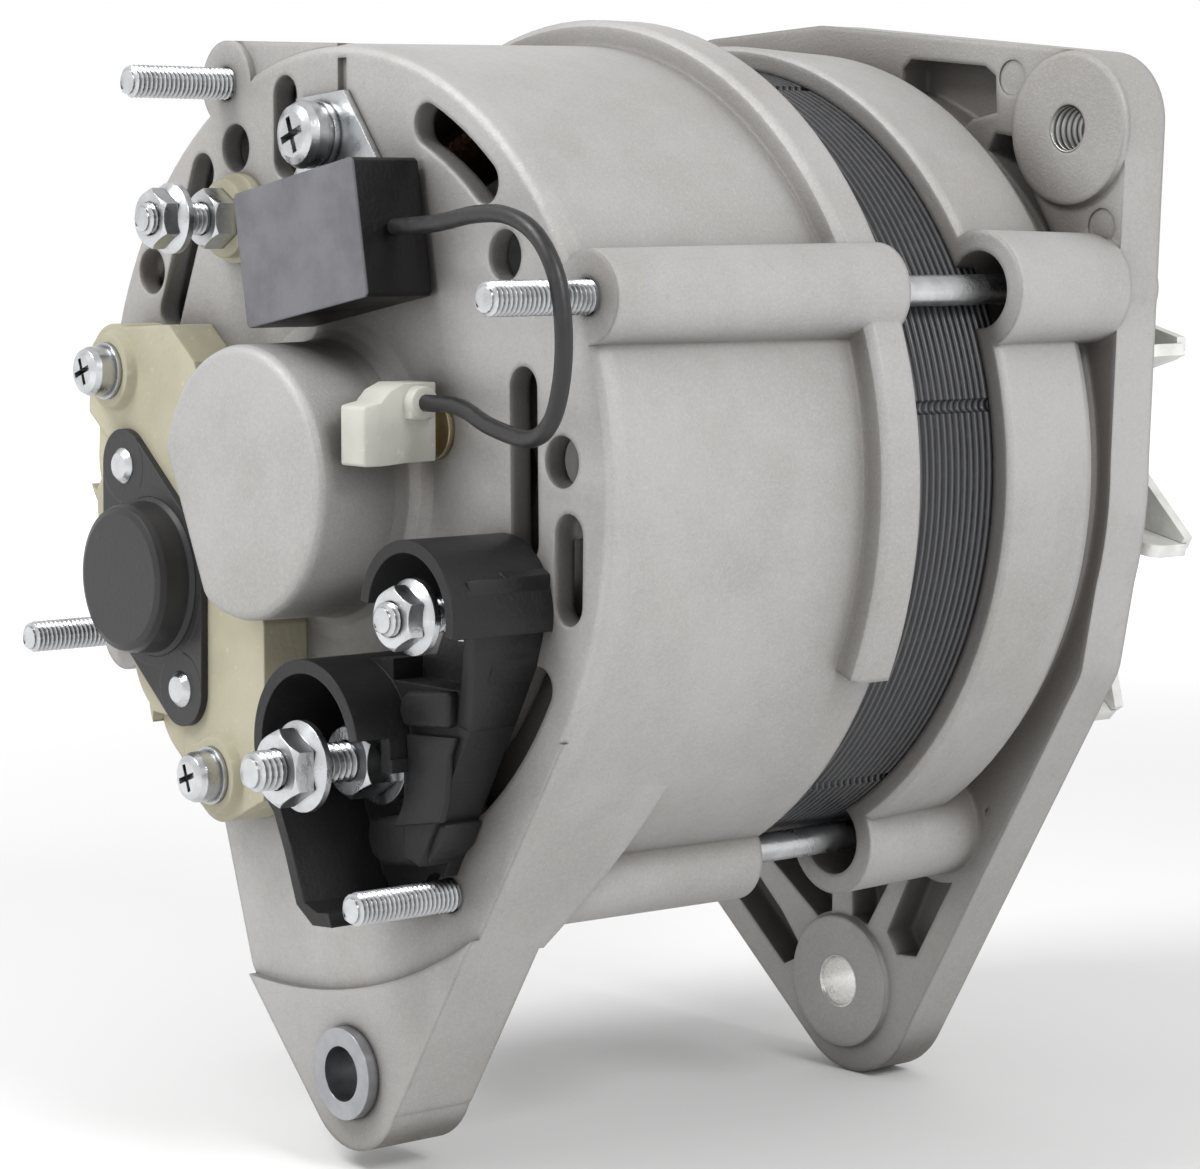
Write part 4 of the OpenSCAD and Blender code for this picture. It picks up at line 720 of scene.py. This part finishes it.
class ALTERNATOR_OT_terminal_block(Piece, bpy.types.Operator):
    """Add the terminal block's outer wall, its bare pads and its widened foot"""

    bl_idname = "alternator.terminal_block"
    bl_label = "Terminal Block Detail"

    def execute(self, context):
        deck = END_Y - BLOCK_HEIGHT
        rear = END_Y * 1000
        wall = fin([
            [(x0, rear - h, z0), (x1, rear - h, z1), (x1, rear, z1), (x0, rear, z0)]
            for x0, z0, x1, z1, h in BLOCK_WALL
        ])
        foot = pad(BLOCK_FOOT, deck + 0.0008, END_Y, 0.0008, 3)
        label = pad(BLOCK_PAD, deck - 0.0012, deck, 0.0003)
        step = pad(BLOCK_STEP, deck - 0.0018, deck + 0.0004, 0.0007, 3)
        block = join([wall, foot, label, step], "terminal_block_detail")
        fit_out(block, "housing", "black_plastic", "black_plastic")
        return {"FINISHED"}


class ALTERNATOR_OT_connector(Piece, bpy.types.Operator):
    """Mould the flag connector: a skewed boot with a raised neck for the lead"""

    bl_idname = "alternator.connector"
    bl_label = "Flag Connector"

    def execute(self, context):
        low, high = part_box("connector_housing")
        left, right = low.x * 1000, BOOT_RIGHT * 1000
        foot, top = low.z * 1000, high.z * 1000
        rear, front = low.y * 1000, high.y * 1000
        # The boot narrows towards the rear, and its upper rear corner is cut away in a hollow
        boot = fin([
            [(left + d, y, z0), (right - d, y, z0), (right - d, y, z1), (left + d, y, z1)]
            for y, d, z0, z1 in (
                (front, 0.0, foot + 0.4, top), (rear + 7.0, 0.0, foot + 0.3, top),
                (rear + 4.6, 0.1, foot + 0.1, top - 1.0), (rear + 3.0, 0.2, foot, top - 2.6),
                (rear + 0.4, 0.4, foot, top - 3.1), (rear, 0.7, foot + 0.3, top - 3.5),
            )
        ])
        # The neck is a half-round sleeve where the lead goes in
        x, y, z = LEAD_POINTS[-1]
        neck = add(
            "cylinder", vertices=40, radius=NECK_R, depth=high.x - BOOT_RIGHT + NECK_IN,
            location=((high.x + BOOT_RIGHT - NECK_IN) / 2, y, z), rotation=(0, math.pi / 2, 0),
        )
        settle()
        round_off(neck, 0.0004, 2)
        inner, outer = right - 1, high.x * 1000 - 0.5
        web = pad(
            [(inner, top - 5.2), (outer, top - 5.2), (outer, z * 1000), (inner, z * 1000)],
            y - 0.0022, y + 0.0022, 0.0005,
        )
        connector = join([boot, neck, web], "flag_connector")
        fit_out(connector, "housing", "white_plastic", "white_plastic", "connector_housing")
        return {"FINISHED"}


class ALTERNATOR_OT_through_bolts(Piece, bpy.types.Operator):
    """Make the four through bolts, with their threads out of the rear bracket"""

    bl_idname = "alternator.through_bolts"
    bl_label = "Through Bolts"

    def execute(self, context):
        look = context.scene.alternator_looks
        low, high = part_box("through_bolts")
        head = high[1] - look.bolt_head
        bolt = join([
            thread(BOLT_R, look.bolt_pitch, low[1] + TIP, END_Y + BOLT_THREAD_IN),
            bar(BOLT_R - 2 * LAP, END_Y + BOLT_THREAD_IN - 2 * LAP, head + LAP),
            bar(BOLT_HEAD_R, head, high[1], 6, 0.0002),
        ], "through_bolt_1")
        places = [(BOLT_CIRCLE * math.cos(a), BOLT_CIRCLE * math.sin(a)) for a in BOLT_ANGLES]
        bolts = [
            copy_to(bolt, f"through_bolt_{number}", x, z)
            for number, (x, z) in enumerate(places[1:], 2)
        ]
        move(bolt, *places[0])
        for piece in (bolt, *bolts):
            fit_out(piece, "housing", "zinc_steel", "zinc_steel", "through_bolts")
        return {"FINISHED"}


class ALTERNATOR_OT_terminal_studs(Piece, bpy.types.Operator):
    """Make the threaded studs of the main, lamp and phase terminals"""

    bl_idname = "alternator.terminal_studs"
    bl_label = "Terminal Studs"

    def execute(self, context):
        look = context.scene.alternator_looks
        for node, radius, pitch, flange, thick in (
            ("main_stud", 0.003, look.main_pitch, 0.0052, 0.003),
            ("lamp_stud", 0.0025, look.bolt_pitch, 0.0042, 0.0024),
            ("phase_stud", 0.0025, look.bolt_pitch, 0.0042, 0.004),
        ):
            low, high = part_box(node)
            thread_end = END_Y + 0.001
            stud = join([
                thread(radius, pitch, low[1] + TIP, thread_end),
                bar(radius, thread_end - LAP, high[1] - thick + LAP),
                bar(flange, high[1] - thick, high[1], 32, 0.0003),
            ], node + "_thread")
            move(stud, (low[0] + high[0]) / 2, (low[2] + high[2]) / 2)
            fit_out(stud, "housing", "zinc_steel", "zinc_steel", node)
        return {"FINISHED"}


class ALTERNATOR_OT_brush_springs(Piece, bpy.types.Operator):
    """Wind the two brush springs, as coils of one length"""

    bl_idname = "alternator.brush_springs"
    bl_label = "Brush Springs"

    def execute(self, context):
        along = Vector((math.cos(HOLDER_TURN), 0, math.sin(HOLDER_TURN)))
        across = Vector((-math.sin(HOLDER_TURN), 0, math.cos(HOLDER_TURN)))
        shaft_way = Vector((0, 1, 0))
        count = SPRING_TURNS * 20
        long = SPRING_FAR - SPRING_NEAR
        for side in ("front", "rear"):
            node = side + "_brush_spring"
            low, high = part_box(node)
            middle = shaft_way * ((low[1] + high[1]) / 2)
            places = []
            for i in range(count + 1):
                angle = i * math.tau * SPRING_TURNS / count
                round_it = across * math.sin(angle) + shaft_way * math.cos(angle)
                places.append(
                    middle + along * (SPRING_NEAR + long * i / count) + round_it * SPRING_R
                )
            take(tube(node + "_coil", places, SPRING_WIRE, 2))
            bpy.ops.object.convert(target="MESH")
            coil = context.object
            bpy.ops.object.shade_smooth()
            fit_out(coil, "housing", "zinc_steel", "zinc_steel", node)
            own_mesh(coil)
        return {"FINISHED"}


class ALTERNATOR_OT_lead(Piece, bpy.types.Operator):
    """Lay the capacitor's lead round the stud to its connector"""

    bl_idname = "alternator.lead"
    bl_label = "Capacitor Lead"

    def execute(self, context):
        # A smooth curve through the points, six steps to each stretch
        way = []
        last = len(LEAD_POINTS) - 1
        for i in range(last):
            a, b = LEAD_POINTS[max(i - 1, 0)], LEAD_POINTS[i]
            c, d = LEAD_POINTS[i + 1], LEAD_POINTS[min(i + 2, last)]
            for step in range(6):
                t = step / 6
                way.append([
                    0.5 * (2 * q + (r - p) * t + (2 * p - 5 * q + 4 * r - s) * t * t
                           + (3 * q - p - 3 * r + s) * t ** 3)
                    for p, q, r, s in zip(a, b, c, d)
                ])
        way.append(LEAD_POINTS[last])
        lead = tube("capacitor_lead_tube", way, LEAD_R, 4)
        fit_out(lead, "housing", "black_plastic", "capacitor_lead", "capacitor_lead")
        return {"FINISHED"}


class ALTERNATOR_OT_stage(Piece, bpy.types.Operator):
    """Lay the pale floor, set the soft lights and place the photograph's camera"""

    bl_idname = "alternator.stage"
    bl_label = "Set the Studio"

    def execute(self, context):
        low = CAD_BOX[0][2]
        floor = add("plane", size=8, location=(0, 0, low - 0.0002))
        floor.name = "floor"
        paper = Graph("pale_floor")
        cloud = paper.noise(2, 2)
        away = paper.node(
            "ShaderNodeVectorMath", {"operation": "LENGTH"}, {0: paper.place()}, out=1
        )
        near = paper.blend(cloud, (0.78, 0.78, 0.78), (0.81, 0.81, 0.81))
        far = paper.ramp(away, 0.25, 0.9)
        # The far floor is paler and glows, so that it is as white as the walls and no line shows
        # where they meet
        floor.data.materials.append(
            paper.finish(
                Base_Color=paper.blend(far, near, (0.98, 0.98, 0.98)),
                Emission_Color=paper.blend(far, (0, 0, 0), (0.34, 0.34, 0.34)),
                Emission_Strength=1.0, Roughness=0.9, Specular_IOR_Level=0.1,
            )
        )
        self.lights(context)
        self.camera(context)
        return {"FINISHED"}

    def lights(self, context):
        # A white room whose ceiling is dimmer than its walls
        room = Graph("studio", "worlds", "Background")
        height = room.node(
            "ShaderNodeSeparateXYZ", None, {0: room.node("ShaderNodeTexCoord")}, out=2
        )
        strength = room.ramp(height, 0.2, 0.9, (1.0, 0.65))
        context.scene.world = room.finish(Color=(1, 1, 1), Strength=strength)
        aim = Vector((0, -0.06, -0.01))
        for name, place, size, power in (
            ("left_softbox", (-0.15, -0.55, 0.6), 0.3, 4.2),
            ("right_softbox", (0.85, -0.1, 0.62), 0.3, 4.4),
        ):
            lamp = bpy.data.lights.new(name, "AREA")
            lamp.size = size
            lamp.energy = power
            lamp_object = bpy.data.objects.new(name, lamp)
            context.collection.objects.link(lamp_object)
            lamp_object.location = place
            lamp_object.rotation_euler = (aim - Vector(place)).to_track_quat("-Z", "Y").to_euler()

    def camera(self, context):
        lens = bpy.data.cameras.new("camera")
        eye = bpy.data.objects.new("camera", lens)
        context.collection.objects.link(eye)
        back = Vector((
            math.sin(AZIMUTH) * math.cos(ELEVATION),
            -math.cos(AZIMUTH) * math.cos(ELEVATION),
            math.sin(ELEVATION),
        ))
        right = Vector((math.cos(AZIMUTH), math.sin(AZIMUTH), 0))
        up = back.cross(right)
        turn = Matrix((right, up, back)).transposed()
        eye.matrix_world = Matrix.Translation(EYE) @ turn.to_4x4()
        lens.sensor_fit = "HORIZONTAL"
        lens.sensor_width = SENSOR_MM
        lens.lens = SENSOR_MM * LENS_PX / FRAME_PX[0]
        lens.clip_start = 0.01
        context.scene.camera = eye
        context.scene.view_settings.view_transform = "Standard"


class ALTERNATOR_PT_panel(bpy.types.Panel):
    """Lists the alternator's looks and steps"""

    bl_label = "Alternator"
    bl_idname = "ALTERNATOR_PT_panel"
    bl_space_type = "VIEW_3D"
    bl_region_type = "UI"
    bl_category = "Alternator"

    def draw(self, context):
        looks = context.scene.alternator_looks
        for name in looks.bl_rna.properties.keys():
            if name not in ("rna_type", "name"):
                self.layout.prop(looks, name)
        for step in STEPS:
            self.layout.operator(step.bl_idname)


STEPS = (
    ALTERNATOR_OT_stage, ALTERNATOR_OT_lead, ALTERNATOR_OT_finishes,
    ALTERNATOR_OT_through_bolts, ALTERNATOR_OT_terminal_studs, ALTERNATOR_OT_terminal_block,
    ALTERNATOR_OT_connector, ALTERNATOR_OT_brush_springs,
)
CLASSES = (AlternatorLooks, *STEPS, ALTERNATOR_PT_panel)


def register():
    """Adds the classes and the scene's settings."""
    for cls in CLASSES:
        bpy.utils.register_class(cls)
    bpy.types.Scene.alternator_looks = PointerProperty(type=AlternatorLooks)


def unregister():
    """Takes them away again."""
    del bpy.types.Scene.alternator_looks
    for cls in reversed(CLASSES):
        bpy.utils.unregister_class(cls)


def main():
    """Dresses the alternator."""
    register()
    for step in STEPS:
        family, name = step.bl_idname.split(".")
        getattr(getattr(bpy.ops, family), name)()


if __name__ == "__main__":
    main()
